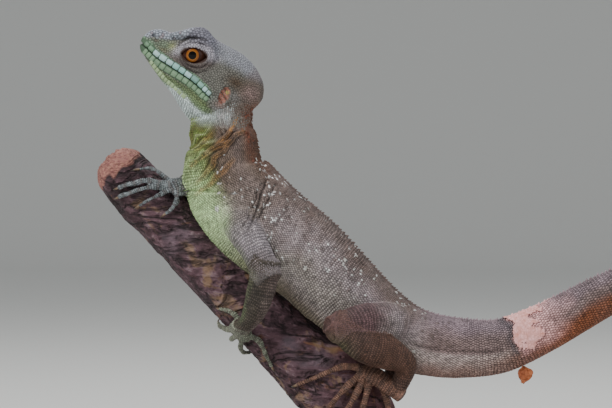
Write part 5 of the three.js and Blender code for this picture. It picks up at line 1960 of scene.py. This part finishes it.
        places = ("throat", "shoulder", "loin", "vent", "tail_bend", "tail_upper", "tail_drop", "tip")
        long = spacing(places, (0.9, 1.14, 1.0, 1.05, 1.2, 1.35, 1.3, 1.0))
        wide = spacing(places, (0.86, 0.98, 0.96, 0.96, 1.0, 1.05, 0.9, 0.6))
        stretches = (("scales_neck", "skull", "shoulder"), ("scales_trunk_front", "shoulder", "belly"),
                     ("scales_trunk_back", "belly", "vent"), ("scales_tail_base", "vent", "tail_shoulder"),
                     ("scales_tail", "tail_shoulder", "tip"))
        for name, first, final in stretches:
            start, end = flesh.station(first), flesh.station(final)
            share, angle, size = self.rows(form, start + 0.0005, end - 0.0005, long, wide)
            run = (-start / (end - start), 0.0, 1 / (end - start), 1.0)
            scales = self.stand(form, share, angle, size, paint, run)
            scales.size = scales.size * (1 - 0.12 * smooth(0.25, 0.6, grain(scales.root, 9, 63)))[:, None]
            self.make(name, scales, 0.3, finish)

    def on_head(self, finish: bpy.types.Material) -> None:
        """Covers the head with plates on top and small scales on the sides."""
        head, form = self.skin.flesh.head, self.skin.flesh.forms[1]

        def tones(places: Array) -> Array:
            """The markings at these plates."""
            return self.markings.head(head.into(places))

        def free(places: Array) -> Array:
            """Which places are clear of the eyes, mouth, lips, ears and nostrils."""
            x, y, z = head.into(places).T
            gap = z - head.mouth_level(x)
            side = np.abs(y) > 4
            clear = ~(side & (head.from_opening(x, z) < 1.04))
            clear &= ~((x < 34) & (gap < 2.6) & (gap > -2.7 - 0.45 * (1 - smooth(16, 26, x))))
            clear &= ~(side & (head.from_ear(x, z) < 1.0))
            return clear & (head.from_nostril(x, z) > 1.0)

        def spot(places: Array) -> Array:
            """Where places lie on the head's unwrap."""
            x, y, z = head.into(places).T
            turn = np.arctan2(y, z + 4) / 2 / math.pi
            return np.stack([0.03 + 0.92 * (x + 2) / 56, 0.5 + turn * 0.94], axis=1)

        def upper(places: Array) -> Array:
            """Which places take plates."""
            x, y, z = head.into(places).T
            inside = at_head(places) & (x > -3) & (x < 51) & ((x < 37) | (z > -13))
            return inside & free(places) & ~under(x, z) & (np.abs(y) < 13) & shown(places)

        def shown(places: Array) -> Array:
            """Which places aren't inside the eye sockets."""
            x, y, z = head.into(places).T
            centre, radii = np.array(head.eye), np.array(head.eye_radii) + 0.3
            ball = ((x - centre[0]) / radii[0]) ** 2 + ((np.abs(y) - centre[1]) / radii[1]) ** 2
            return ball + ((z - centre[2]) / radii[2]) ** 2 > 1

        def under(x: Array, z: Array) -> Array:
            """Which places are on the throat side of the jaw, or past the head."""
            gap = z - head.mouth_level(x)
            return (x < 37) & ((gap < -6.4 - 0.04 * x) | ((x > 34) & (z < -11 - 0.1 * (x - 34))))

        def pitch(places: Array) -> Array:
            """The distance between plates."""
            x, y, z = head.into(places).T
            top = smooth(2.0, 4.2, z - 0.13 * x) * (1 - smooth(24, 29, x))
            side = 0.7 + 0.1 * (1 - smooth(6, 14, x)) + 0.1 * smooth(30, 38, x)
            lid = bump(1.2, 0.55, head.from_opening(x, z)) * side_mask(y, 5)
            jaw = smooth(2.2, 4.5, -(z - head.mouth_level(x))) * (1 - smooth(20, 34, x))
            return (side + (1.0 - side) * top) * (1 - 0.38 * lid) + 0.1 * jaw

        spread = self.scatter(upper, pitch, tones, spot)
        front = head.into(spread.root)[:, 0] < 27
        self.plates("scales_face", spread.chosen(front), 0.17, finish)
        self.plates("scales_casque", spread.chosen(~front), 0.17, finish)
        share, angle, size = self.rows(form, 0.03, 0.97, lambda s: 0.86, lambda s: 0.74, 0.0)
        gular = self.stand(form, share, angle, size, lambda s, a, p: tones(p), (0.02, 0.02, 0.96, 0.96),
                           lambda p: free(p) & under(*head.into(p)[:, [0, 2]].T))
        self.make("scales_throat", gular, 0.36, finish)

    def on_limbs(self, finish: bpy.types.Material) -> None:
        """Covers the limbs, hands and feet."""
        groups: dict[str, list[Scales]] = {"scales_arms": [], "scales_legs": [], "scales_hands_feet": []}
        limbs = [form for form in self.skin.flesh.forms if form.part not in (Part.BODY, Part.HEAD)]
        last = len(self.skin.flesh.names) - 1
        for number, form in enumerate(limbs):
            digit, upper, lower = (word in form.name for word in ("digit", "upper", "lower"))

            def paint(share: Array, angle: Array, places: Array, form: Form = form, upper: bool = upper,
                      lower: bool = lower) -> Array:
                """The markings at these scales."""
                facing = -unit(places - form.track.read("centre", share))[:, 0] * smooth(0.12, 0.3, share)
                on = share if form.part in (Part.HAND, Part.FOOT) else share * 0.5 + 0.5 * lower
                colour = self.markings.limb(form.part, on, places, facing)
                if upper:
                    station, turn, _ = self.skin.along_body(places)
                    trunk = self.markings.body(station * last, np.abs(turn) / math.pi, places)
                    joined = 1 - smooth(0.12, 0.55, share + grain(places, 4, 49) * 0.08)
                    colour = blend(colour, trunk, joined)
                return colour

            long, wide = (0.74, 0.7) if digit else (0.9, 0.88)
            cell = number % 36
            chart = (cell % 6 / 6, cell // 6 / 6, 0.155, 0.155)
            first = 0.04 if lower or digit else 0.02
            share, angle, size = self.rows(form, first, 0.97, lambda s: long, lambda s: wide)
            scales = self.stand(form, share, angle, size, paint, chart)
            kind = {Part.ARM: "scales_arms", Part.LEG: "scales_legs"}.get(form.part, "scales_hands_feet")
            groups[kind].append(scales)
        for name, found in groups.items():
            self.make(name, Scales.join(found), 0.3, finish)

    def fill(self, finish: bpy.types.Material) -> None:
        """Puts small scales where the rows leave the skin bare, such as at the bends of the limbs."""
        scales = Scales.join(self.grown)
        tree = look_up(scales.root)
        head = self.skin.flesh.head

        def bare(places: Array) -> Array:
            """Which places have no scale near them."""
            x, _, z = head.into(places).T
            found = ~((x < 37) & (z > -14) & (places[:, 2] > 186))
            rows = np.nonzero(found)[0]
            found[rows] = [tree.find(place)[2] > 0.62 for place in places[rows]]
            return found

        spread = self.scatter(bare, lambda p: np.full(len(p), 0.6), lambda p: scales.colour[nearest(tree, p)],
                              lambda p: scales.chart[nearest(tree, p)])
        log.info("fill: %d scales", len(spread.root))
        self.make("scales_joints", spread, 0.4, finish)

    def colour_skin(self, finish: bpy.types.Material) -> None:
        """Gives the skin the colours of the scales that stand on it, darkened as painted shade in the gaps
        between them and in the mouth.
        """
        scales = Scales.join(self.grown)
        places = points_of(self.skin.piece)
        # Painted shade: the skin between the scales is darkened to under half their colour.
        colour = scales.colour[nearest(look_up(scales.root), places)] * 0.46
        head = self.skin.flesh.head
        local = head.into(places)
        x, y, z = local.T
        face = at_head(places) & (x < 46)
        # Painted shade between the head's scales, as on the body.
        colour[face] = self.markings.head(local[face]) * 0.5
        bare = face & (np.abs(y) > 5) & ((head.from_ear(x, z) < 1.0) | (head.from_opening(x, z) < 1.12))
        # The eardrums and the edges of the eye openings carry no scales, so they are lifted back out of the
        # gaps' painted shade.
        colour[bare] *= 1.9
        mouth = (np.abs(z - head.mouth_level(x)) < 0.35) & (x < 34.5) & (x > -4) & (np.abs(y) < 14)
        # Painted shade in the slit of the mouth.
        colour[mouth] *= 0.3
        tint(self.skin.piece, colour)
        nodes = ["head", "neck", "torso", "tail_base", "tail_middle", "tail_end"]
        for side in ("left", "right"):
            nodes += [f"{part}_{side}" for part in ("upper_arm", "forearm", "hand", "thigh", "shin", "foot")]
        settle(self.skin.piece, "skin", finish, *nodes)


@dataclass
class FacePlates:
    """The large plates along the lips and the row of bold scales under the jaw.

    Attributes:
        coat: Gives the surface they stand on.
        upper_count: Plates along the upper lip.
        lower_count: Plates along the lower lip.
        end: How far back they reach.
        chin: The line of the pale row under the lower lip.
        around: Points round each plate.
    """

    coat: Coat
    upper_count: int = 13
    lower_count: int = 15
    end: float = 33.6
    chin: tuple[tuple[float, float], ...] = (
        (4.6, -4.7), (7.3, -5.9), (10.3, -7.35), (13.0, -8.5), (15.6, -9.4), (18.4, -10.1), (21.7, -11.0),
        (25.4, -12.0))
    around: int = 16

    def plate(self, centre: tuple[float, float], half: tuple[float, float], tilt: float, side: Side,
              rise: float) -> tuple[Array, list[tuple[int, ...]]] | None:
        """One domed plate, laid on the skin.

        Args:
            centre: Its place back from the snout, and up.
            half: Half its length and half its height.
            tilt: Its slope in radians.
            side: Which side of the head.
            rise: How far it stands out.

        Returns:
            The places and faces, or None where there is no skin under it.
        """
        head = self.coat.skin.flesh.head
        count = self.around
        turn = np.linspace(0, 2 * math.pi, count, endpoint=False)
        square = 1 / np.maximum(np.abs(np.cos(turn)), np.abs(np.sin(turn))) ** 0.86
        cosine, sine = math.cos(tilt), math.sin(tilt)
        inward = Vector((0, -side.value, 0))
        verts = []
        for scale, lift in ((1.0, -0.5), (0.96, 0.35), (0.8, 0.8), (0.4, 1.0)):
            x, z = np.cos(turn) * square * scale * half[0], np.sin(turn) * square * scale * half[1]
            for dx, dz in zip(x * cosine - z * sine, x * sine + z * cosine):
                start = head.out(np.array([[centre[0] + dx, side.value * 25, centre[1] + dz]]))[0]
                hit, normal, _, _ = self.coat.tree.ray_cast(Vector(start * MM), inward, 0.04)
                if hit is None:
                    return None
                verts.append(np.array(hit) / MM + np.array(normal) * lift * rise)
        low, top = np.mean(verts[:count], axis=0), np.mean(verts[-count:], axis=0)
        verts += [top, low - (top - low) * 0.5]
        faces: list[tuple[int, ...]] = []
        for i in range(count):
            j = (i + 1) % count
            faces += [(ring + i, ring + j, ring + count + j, ring + count + i)
                      for ring in (0, count, 2 * count)]
            faces += [(3 * count + i, 3 * count + j, 4 * count), (j, i, 4 * count + 1)]
        if side is Side.RIGHT:
            faces = [tuple(reversed(face)) for face in faces]
        return np.array(verts), faces

    def build(self, finish: bpy.types.Material) -> None:
        """Makes all the plates as one piece."""
        head = self.coat.skin.flesh.head
        cluster, colours, rows = Cluster(), [], []
        chance = np.random.default_rng(5)
        for upper, start, count in ((1, -0.8, self.upper_count), (-1, 0.1, self.lower_count)):
            swell = np.sin(math.pi * np.linspace(0.05, 1, count)) ** 1.2
            width = 1 + 0.42 * swell + chance.normal(0, 0.14, count)
            knots = start + (self.end - start) * np.concatenate([[0], np.cumsum(width) / width.sum()])
            for first, last in zip(knots, knots[1:]):
                middle = (first + last) / 2
                level = float(head.mouth_level(np.array([middle]))[0])
                slope = float(np.diff(head.mouth_level(np.array([first, last])))[0]) / (last - first)
                tall = 0.84 + 0.3 * math.sin(math.pi * max(middle, 0) / 34) + chance.normal(0, 0.06)
                if upper > 0:
                    pale = 0.9 * math.exp(-(((middle - 19) / 7) ** 2))
                    pale += 0.35 * math.exp(-(((middle - 29) / 4) ** 2))
                    tone, share = Tone.MINT, 0.1
                else:
                    back = float(smooth(15, 26, np.array(middle)))
                    tall = 0.98 + 0.22 * (1 - back) + chance.normal(0, 0.08)
                    pale, tone, share = 0.1, Tone.JAW, 0.45
                colour = layered(Tone.LIP_DEEP, (Tone.LIP, pale), (tone, share))
                # Painted highlights: some upper plates are made paler and bluer at random.
                if chance.random() < 0.3 and upper > 0:
                    colour = blend(colour, srgb(176, 204, 208), 0.585)
                colour = colour * chance.normal(1, 0.13)
                half = (last - first) / 2 * 0.955
                rows.append((middle, level + upper * (0.26 + tall), half, tall, slope, colour, 0.3))
        line = curve_at(np.array(self.chin), np.linspace(0, 1, 13), True)
        for first, last in zip(line, line[1:]):
            (back, up), run = (first + last) / 2, last - first
            tall = 0.76 + chance.normal(0, 0.07)
            rows.append((back, up, float(np.hypot(*run)) / 2 * 0.93, tall, run[1] / run[0],
                         Tone.CHIN * chance.normal(1, 0.12), 0.34))
        for back, up, half, tall, slope, colour, rise in rows:
            for side in Side:
                made = self.plate((back, up), (half, tall), math.atan(slope), side, rise)
                if made is None:
                    continue
                places, corners = made
                cluster.add(places, corners)
                mottled_and_rim_shaded = colour * (1 + 0.1 * grain(places, 1.4, 71))[:, None]
                # Painted shade: the plate's outer rim is darkened, and the ring inside it less.
                mottled_and_rim_shaded[: self.around] *= 0.5
                mottled_and_rim_shaded[self.around : 2 * self.around] *= 0.82
                colours.append(mottled_and_rim_shaded)
        piece = cluster.piece("lip_plates")
        tint(piece, np.vstack(colours))
        settle(piece, "skin", finish)


@dataclass
class Eye:
    """One eyeball with its iris and pupil on the outer side."""

    side: Side
    head: HeadFrame

    def build(self, finish: bpy.types.Material) -> None:
        """Models the eye and marks how far each place is from its middle."""
        bpy.ops.object.select_all(action="DESELECT")
        bpy.ops.mesh.primitive_uv_sphere_add(segments=96, ring_count=64, radius=1)
        piece = bpy.context.object
        piece.name = f"eyeball_{self.side.name.lower()}"
        places = points_of(piece) * MM
        places = np.stack([places[:, 0], places[:, 2], -places[:, 1]], axis=1)
        aside, above = self.head.gaze_off
        centre = np.array(self.head.eye) * (1, self.side.value, 1)
        radii = np.array(self.head.eye_radii)
        ring = np.hypot(places[:, 0] * radii[0] - aside, places[:, 2] * radii[2] - above)
        ring = np.where(places[:, 1] * self.side.value > 0, ring, 9.0)
        cornea = 1 + 0.035 * bump(0, 2.6, ring)
        move_points(piece, self.head.out(places * radii * cornea[:, None] + centre))
        measure(piece, "ring", ring)
        settle(piece, "eye", finish, f"eye_{self.side.name.lower()}")


@dataclass
class Crest:
    """The low comb of leaning scales along the back and tail."""

    coat: Coat
    spacing: float = 1.55
    leaf: tuple[tuple[float, float, float], ...] = (
        (-0.55, 0, -0.5), (-0.15, 0.28, -0.3), (-0.15, -0.28, -0.3), (0.5, 0.24, -0.3), (0.5, -0.24, -0.3),
        (0.72, 0, 1.0), (0.8, 0, -0.5), (-0.12, 0.14, 0.45), (-0.12, -0.14, 0.45))
    sides: tuple[tuple[int, int, int], ...] = (
        (0, 2, 8), (0, 8, 7), (0, 7, 1), (1, 7, 5), (2, 5, 8), (7, 8, 5), (1, 5, 3), (2, 4, 5), (3, 5, 6),
        (4, 6, 5), (0, 1, 3), (0, 3, 6), (0, 6, 4), (0, 4, 2))
    # Painted light on each corner: the tip is painted lightest as a highlight, the foot darker as shade.
    shade: tuple[float, ...] = (0.7, 0.8, 0.8, 0.9, 0.9, 1.35, 0.8, 1.1, 1.1)

    def build(self, finish: bpy.types.Material) -> None:
        """Models one comb scale and repeats it along the line."""
        flesh = self.coat.skin.flesh
        track = flesh.body
        share = flesh.station("throat") - 0.012
        end = flesh.station("tail_thin")
        cluster, colours = Cluster(), []
        leaf, shade = np.array(self.leaf), np.array(self.shade)[:, None]
        while share < end:
            at = np.array([share])
            row = share * (len(flesh.names) - 1)
            tall = float(np.interp(row, [0.5, 4, 9, 12, 16, 22], [0.6, 0.75, 0.66, 0.85, 0.85, 0.4]))
            tall *= 1 + 0.3 * math.sin(len(colours) * 2.4)
            place = track.surface(at, np.array([0.0]), -0.1)[0]
            along, side, dorsal = (track.read(name, at)[0] for name in ("along", "side", "dorsal"))
            step = self.spacing * (0.75 + 0.35 * tall)
            local = leaf * (step * 0.72, step * 0.62, tall)
            cluster.add(place + local @ np.array([along, side, dorsal]), self.sides)
            colour = self.coat.markings.body(np.array([row]), np.array([0.02]), place[None])[0]
            # Each comb scale carries the painted highlight and shade of its corners.
            colours.append(colour * shade)
            share += step / track.length
        piece = cluster.piece("crest_scales")
        face_outwards(piece)
        tint(piece, np.vstack(colours))
        settle(piece, "skin", finish)


@dataclass
class Claws:
    """The curved claws of all the digits."""

    flesh: Flesh
    length: float = 2.6
    hook: tuple[tuple[float, float, float], ...] = (
        (-0.25, 0.0, 0.62), (0.25, -0.06, 0.58), (0.65, 0.06, 0.4), (0.95, 0.32, 0.2), (1.05, 0.52, 0.06))

    def build(self, finish: bpy.types.Material) -> None:
        """Wraps each claw round a short hooked line."""
        cluster, reach = Cluster(), []
        for number, (before, last) in enumerate(self.flesh.tips):
            onward = unit(last - before)
            inward = -self.flesh.perch.outward(last[None])[0]
            thick = 0.72 if number % 10 < 5 else 0.85  # hands, then feet, on each side
            sections = []
            for ahead, drop, radius in self.hook:
                at = last + (onward * ahead + inward * drop) * self.length
                sections.append((*at, radius * thick, radius * thick * 0.85))
            places, corners = rounded(sections, self.flesh.perch.outward).shell(12, 14, 0, (0.2, 0.1))
            cluster.add(places, corners)
            reach.append((places - last) @ onward / self.length)
        piece = cluster.piece("claws")
        measure(piece, "reach", np.concatenate(reach))
        settle(piece, "skin", finish)


@dataclass
class ShedSkin:
    """Old skin that is coming away: a sleeve on the tail, flecks on the flanks and a loose flake."""

    coat: Coat
    seed: int = 11

    @staticmethod
    def sheet(places: Array, keep: Array, normals: Array,
              thick: float) -> tuple[Array, list[tuple[int, ...]]]:
        """A thin closed sheet from a grid of places.

        Args:
            places: Rows and columns of places.
            keep: Which cells of the grid are there.
            normals: The way out at each place.
            thick: Its thickness.

        Returns:
            The places and faces.
        """
        rows, columns = places.shape[:2]
        outer = places + normals * thick
        verts = np.vstack([outer.reshape(-1, 3), places.reshape(-1, 3)])
        under = rows * columns
        faces: list[tuple[int, ...]] = []
        for r in range(rows - 1):
            for c in range(columns - 1):
                if not keep[r, c]:
                    continue
                a = r * columns + c
                b, d, e = a + 1, a + columns + 1, a + columns
                faces += [(a, b, d, e), (under + e, under + d, under + b, under + a)]
                for p, q, nr, nc in ((b, a, r - 1, c), (d, b, r, c + 1), (e, d, r + 1, c), (a, e, r, c - 1)):
                    if not (0 <= nr < rows - 1 and 0 <= nc < columns - 1 and keep[nr, nc]):
                        faces.append((p, q, under + q, under + p))
        return verts, faces

    @staticmethod
    def finish_sheet(name: str, cluster: Cluster, finish: bpy.types.Material) -> None:
        """Turns sheets into a finished piece."""
        piece = cluster.piece(name)
        face_outwards(piece)
        settle(piece, "skin", finish)

    def sleeve(self, finish: bpy.types.Material) -> None:
        """The patch of pale skin round the tail, torn along its front edge."""
        flesh = self.coat.skin.flesh
        start, end = flesh.station("tail_bend") - 0.002, flesh.station("tail_slope") + 0.02
        share = np.linspace(start, end, 110)[:, None]
        angle = np.linspace(-2.35, 2.35, 150)[None, :]
        share, angle = np.broadcast_arrays(share, angle)
        flat = flesh.body.surface(share.ravel(), angle.ravel(), 0.2)
        normal = unit(flat - flesh.body.read("centre", share.ravel()))
        x, low = flat[:, 0], np.abs(angle.ravel()) / math.pi
        crinkle = grain(flat * np.array([0.5, 1, 1]), 1.3, 81) * 0.2 + grain(flat, 0.6, 82) * 0.16
        crinkle += 0.12 * np.sin(x * 5)
        torn = x - torn_edge(flat, low)
        curl = np.exp(-np.abs(torn) / 1.2) * 0.4
        places = (flat + normal * (crinkle + curl + 0.05)[:, None]).reshape(*share.shape, 3)
        fade = smooth(65, 82, x) * 1.6 + smooth(0.56, 0.76, low) * 1.1
        keep = (torn > 0) & (grain(flat, 3.4, 85) * 0.7 + grain(flat, 0.8, 86) * 0.3 + 0.75 > fade)
        cluster = Cluster()
        cluster.add(*self.sheet(places, keep.reshape(share.shape), normal.reshape(*share.shape, 3), 0.14))
        self.finish_sheet("shed_sleeve", cluster, finish)

    def flecks(self, name: str, count: int, rows: tuple[float, float], turns: tuple[float, float],
               size: float, finish: bpy.types.Material) -> None:
        """Small scraps over one stretch of the body.

        Args:
            name: The piece's name.
            count: How many are tried.
            rows: The first and last section.
            turns: The least and greatest angle from the middle of the back.
            size: How large they are.
            finish: Their material.
        """
        flesh = self.coat.skin.flesh
        chance = np.random.default_rng(self.seed)
        cluster = Cluster()
        last = len(flesh.names) - 1
        for _ in range(count):
            share = chance.uniform(*rows) / last
            turn = chance.choice([-1, 1]) * chance.uniform(*turns)
            at = flesh.body.surface(np.array([share]), np.array([turn]), 0.0)[0]
            if grain(at[None], 5, 62)[0] < 0.12:
                continue
            hit, normal, _, _ = self.coat.tree.find_nearest(Vector(at * MM), 0.002)
            if hit is None:
                continue
            out = np.array(normal)
            sideways = across(flesh.body.read("along", np.array([share])), out[None])[0]
            other = np.cross(out, sideways)
            long, wide = (0.3 + 0.8 * chance.random() ** 3) * size, chance.uniform(0.3, 0.8) * size
            lean = chance.uniform(0, math.pi)
            first = sideways * math.cos(lean) + other * math.sin(lean)
            second = np.cross(out, first)
            grid = np.zeros((4, 5, 3))
            for r in range(4):
                for c in range(5):
                    u, v = (c / 4 - 0.5) * 2, (r / 3 - 0.5) * 2
                    spread = 1 - 0.45 * abs(u) * chance.uniform(0.2, 1.6)
                    rise = 0.26 + 0.2 * abs(u) ** 2 * chance.uniform(0.3, 1.5)
                    stray = chance.normal(0, 0.2, 2) * size
                    grid[r, c] = np.array(hit) / MM + first * (u * long + stray[0]) + out * rise
                    grid[r, c] += second * (v * wide * spread + stray[1])
            cluster.add(*self.sheet(grid, np.ones((4, 5), bool), np.broadcast_to(out, grid.shape), 0.07))
        self.finish_sheet(name, cluster, finish)

    def loose_flake(self, finish: bpy.types.Material) -> None:
        """The curled flake that hangs from the underside of the tail."""
        flesh = self.coat.skin.flesh
        share = flesh.station("tail_bend") + 0.018
        root = flesh.body.surface(np.array([share]), np.array([math.pi * 0.97]), 0.0)[0] - (2.3, 0, 1.6)
        rows, columns = 22, 14
        grid, normals = np.zeros((rows, columns, 3)), np.zeros((rows, columns, 3))
        for r in range(rows):
            for c in range(columns):
                v, u = r / (rows - 1), c / (columns - 1) * 2 - 1
                half = 2.9 * math.sin(math.pi * (0.16 + 0.74 * v)) ** 0.8 * min(1.0, 0.22 + 3.4 * v)
                curl = 1.5 * u * u + 0.9 * math.sin(v * 4.2)
                grid[r, c] = root + (u * half + 0.9 * v, -0.6 - curl * 0.75, 0.5 - v * 6.4 + 0.8 * u * v)
                normals[r, c] = unit(np.array([-u * 0.7, -1.0, 0.25 * math.cos(v * 4.2)]))
        flat = grid.reshape(-1, 3)
        crinkle = grain(flat, 1.5, 91) * 0.9 + grain(flat, 0.6, 92) * 0.3
        grid = grid + crinkle.reshape(rows, columns, 1) * normals
        edge = np.abs(np.linspace(-1, 1, columns))[None, :]
        keep = edge + grain(flat, 1.0, 93).reshape(rows, columns) * 0.22 < 1.08
        cluster = Cluster()
        cluster.add(*self.sheet(grid, keep, normals, 0.16))
        self.finish_sheet("shed_loose_flake", cluster, finish)


# Stand and studio


@dataclass
class Stand:
    """The plain base and its rod.

    Attributes:
        length: The base's length.
        width: The base's width.
        thickness: The base's thickness.
        corner: The radius of its corners.
        shift: How far its middle lies towards the tail.
    """

    length: float = 230
    width: float = 130
    thickness: float = 10
    corner: float = 18
    shift: float = 16

    def base(self, finish: bpy.types.Material) -> None:
        """Models the base from a block with rounded corners and a softened edge."""
        bpy.ops.object.select_all(action="DESELECT")
        bpy.ops.mesh.primitive_cube_add(size=1)
        piece = bpy.context.object
        piece.name = "base_board"
        size = np.array([self.length, self.width, self.thickness])
        move_points(piece, points_of(piece) * MM * size + (self.shift, 0, self.thickness / 2))
        bpy.ops.object.mode_set(mode="EDIT")
        bpy.ops.mesh.select_mode(type="EDGE")
        bpy.ops.mesh.select_all(action="DESELECT")
        bpy.ops.object.mode_set(mode="OBJECT")
        for edge in piece.data.edges:
            first, second = (piece.data.vertices[i].co for i in edge.vertices)
            edge.select = abs(first.z - second.z) > 0.001
        bpy.ops.object.mode_set(mode="EDIT")
        bpy.ops.mesh.bevel(offset=self.corner * MM, segments=14, affect="EDGES")
        bpy.ops.object.mode_set(mode="OBJECT")
        modify(piece, "BEVEL", width=1.5 * MM, segments=4, limit_method="ANGLE", angle_limit=math.radians(60))
        settle(piece, "stand_wood", finish, "stand_base")

    def rod(self, finish: bpy.types.Material) -> None:
        """Dresses the rod and its collar with their CAD shape's own surface."""
        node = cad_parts["stand_rod"]
        node.data.materials.clear()
        node.data.materials.append(finish)
        log.info("stand_rod: dressed")


@dataclass
class Studio:
    """The pale floor, the soft lights and the camera."""

    eye_level: float = 158.0
    distance: float = 700.0
    aim: float = -17.16
    lens: float = 105.6

    def floor(self) -> None:
        """Sweeps a floor up into a backdrop."""
        bpy.ops.object.select_all(action="DESELECT")
        bpy.ops.mesh.primitive_plane_add(size=1)
        piece = bpy.context.object
        piece.name = "floor_sweep"
        profile = [(-5.0, 0.0), (3.6, 0.0)]
        for turn in np.linspace(0.1, math.pi / 2, 16):
            profile.append((3.6 + 1.2 * math.sin(turn), 1.2 - 1.2 * math.cos(turn)))
        profile.append((4.8, 6.0))
        verts = [(x, y, z) for y, z in profile for x in (-6.0, 6.0)]
        faces = [(2 * i, 2 * i + 1, 2 * i + 3, 2 * i + 2) for i in range(len(profile) - 1)]
        piece.data.clear_geometry()
        piece.data.from_pydata(verts, [], faces)
        piece.data.polygons.foreach_set("use_smooth", np.ones(len(faces), bool))
        recipe = Recipe("pale floor")
        recipe.finish(Base_Color=srgb(224, 224, 221), Roughness=0.9)
        piece.data.materials.append(recipe.material)

    @staticmethod
    def light(name: str, place: tuple[float, float, float], size: float, power: float,
              colour: tuple[float, float, float] = (1, 1, 1)) -> None:
        """Adds one soft square light, aimed at the animal."""
        data = bpy.data.lights.new(name, "AREA")
        data.size, data.energy, data.color = size, power, colour
        lamp = bpy.data.objects.new(name, data)
        lamp.location = place
        lamp.rotation_euler = (Vector(SUBJECT) - Vector(place)).to_track_quat("-Z", "Y").to_euler()
        bpy.context.scene.collection.objects.link(lamp)

    def build(self) -> None:
        """Sets up the whole studio."""
        self.floor()
        self.light("key light", (-0.75, -0.95, 1.05), 0.7, 17, (1.0, 0.98, 0.95))
        self.light("fill light", (1.2, -0.9, 0.5), 1.2, 6, (0.94, 0.97, 1.0))
        self.light("top light", (0.1, 0.5, 1.3), 0.9, 10)
        world = bpy.data.worlds.new("studio air")
        world.use_nodes = True
        back = world.node_tree.nodes["Background"]
        back.inputs["Color"].default_value = (0.9, 0.93, 0.95, 1)
        back.inputs["Strength"].default_value = 0.46
        bpy.context.scene.world = world
        data = bpy.data.cameras.new("camera")
        data.lens, data.sensor_width, data.sensor_fit = self.lens, 36, "HORIZONTAL"
        data.clip_start, data.clip_end = 0.01, 20
        camera = bpy.data.objects.new("camera", data)
        camera.location = (self.aim * MM, -self.distance * MM, self.eye_level * MM)
        camera.rotation_euler = (math.pi / 2, 0, 0)
        bpy.context.scene.collection.objects.link(camera)
        bpy.context.scene.camera = camera


def main() -> None:
    """Builds every piece in order."""
    logging.basicConfig(level=logging.INFO, format="%(name)s %(message)s")
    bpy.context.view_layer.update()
    studio = Studio()
    studio.build()
    perch = Perch()
    perch.build(Bark().make())
    stand = Stand()
    stand.base(StainedWood().make())
    stand.rod(BrushedSteel().make())
    flesh = Flesh(perch)
    skin = Skin(flesh)
    skin.build()
    markings = Markings(flesh)
    coat = Coat(skin, markings)
    scaled = Hide("scales", 1.22).make()
    coat.on_body(scaled)
    coat.on_head(scaled)
    coat.on_limbs(scaled)
    coat.fill(scaled)
    coat.colour_skin(Hide("bare skin", 1.1, 0.66).make())
    FacePlates(coat).build(Hide("lip plates", 1.22, 0.46).make())
    iris = Iris().make()
    for side in Side:
        Eye(side, flesh.head).build(iris)
    Crest(coat).build(scaled)
    Claws(flesh).build(Horn().make())
    shed = ShedSkin(coat)
    shed.sleeve(Flake("pale shed skin", tuple(Tone.SHED), tuple(srgb(208, 138, 122))).make())
    pale = Flake("white flecks", tuple(Tone.FLECK), tuple(srgb(170, 162, 150))).make()
    shed.flecks("shed_flecks", 300, (2.2, 10.5), (0.25, 1.9), 0.85, pale)
    rusty = Flake("nape scraps", tuple(srgb(150, 92, 70)), tuple(srgb(96, 54, 42))).make()
    shed.flecks("shed_nape", 110, (0.2, 2.6), (0.0, 0.75), 0.9, rusty)
    shed.loose_flake(Flake("rust flake", tuple(srgb(196, 116, 72)), tuple(srgb(150, 74, 40))).make())


if __name__ == "__main__":
    main()
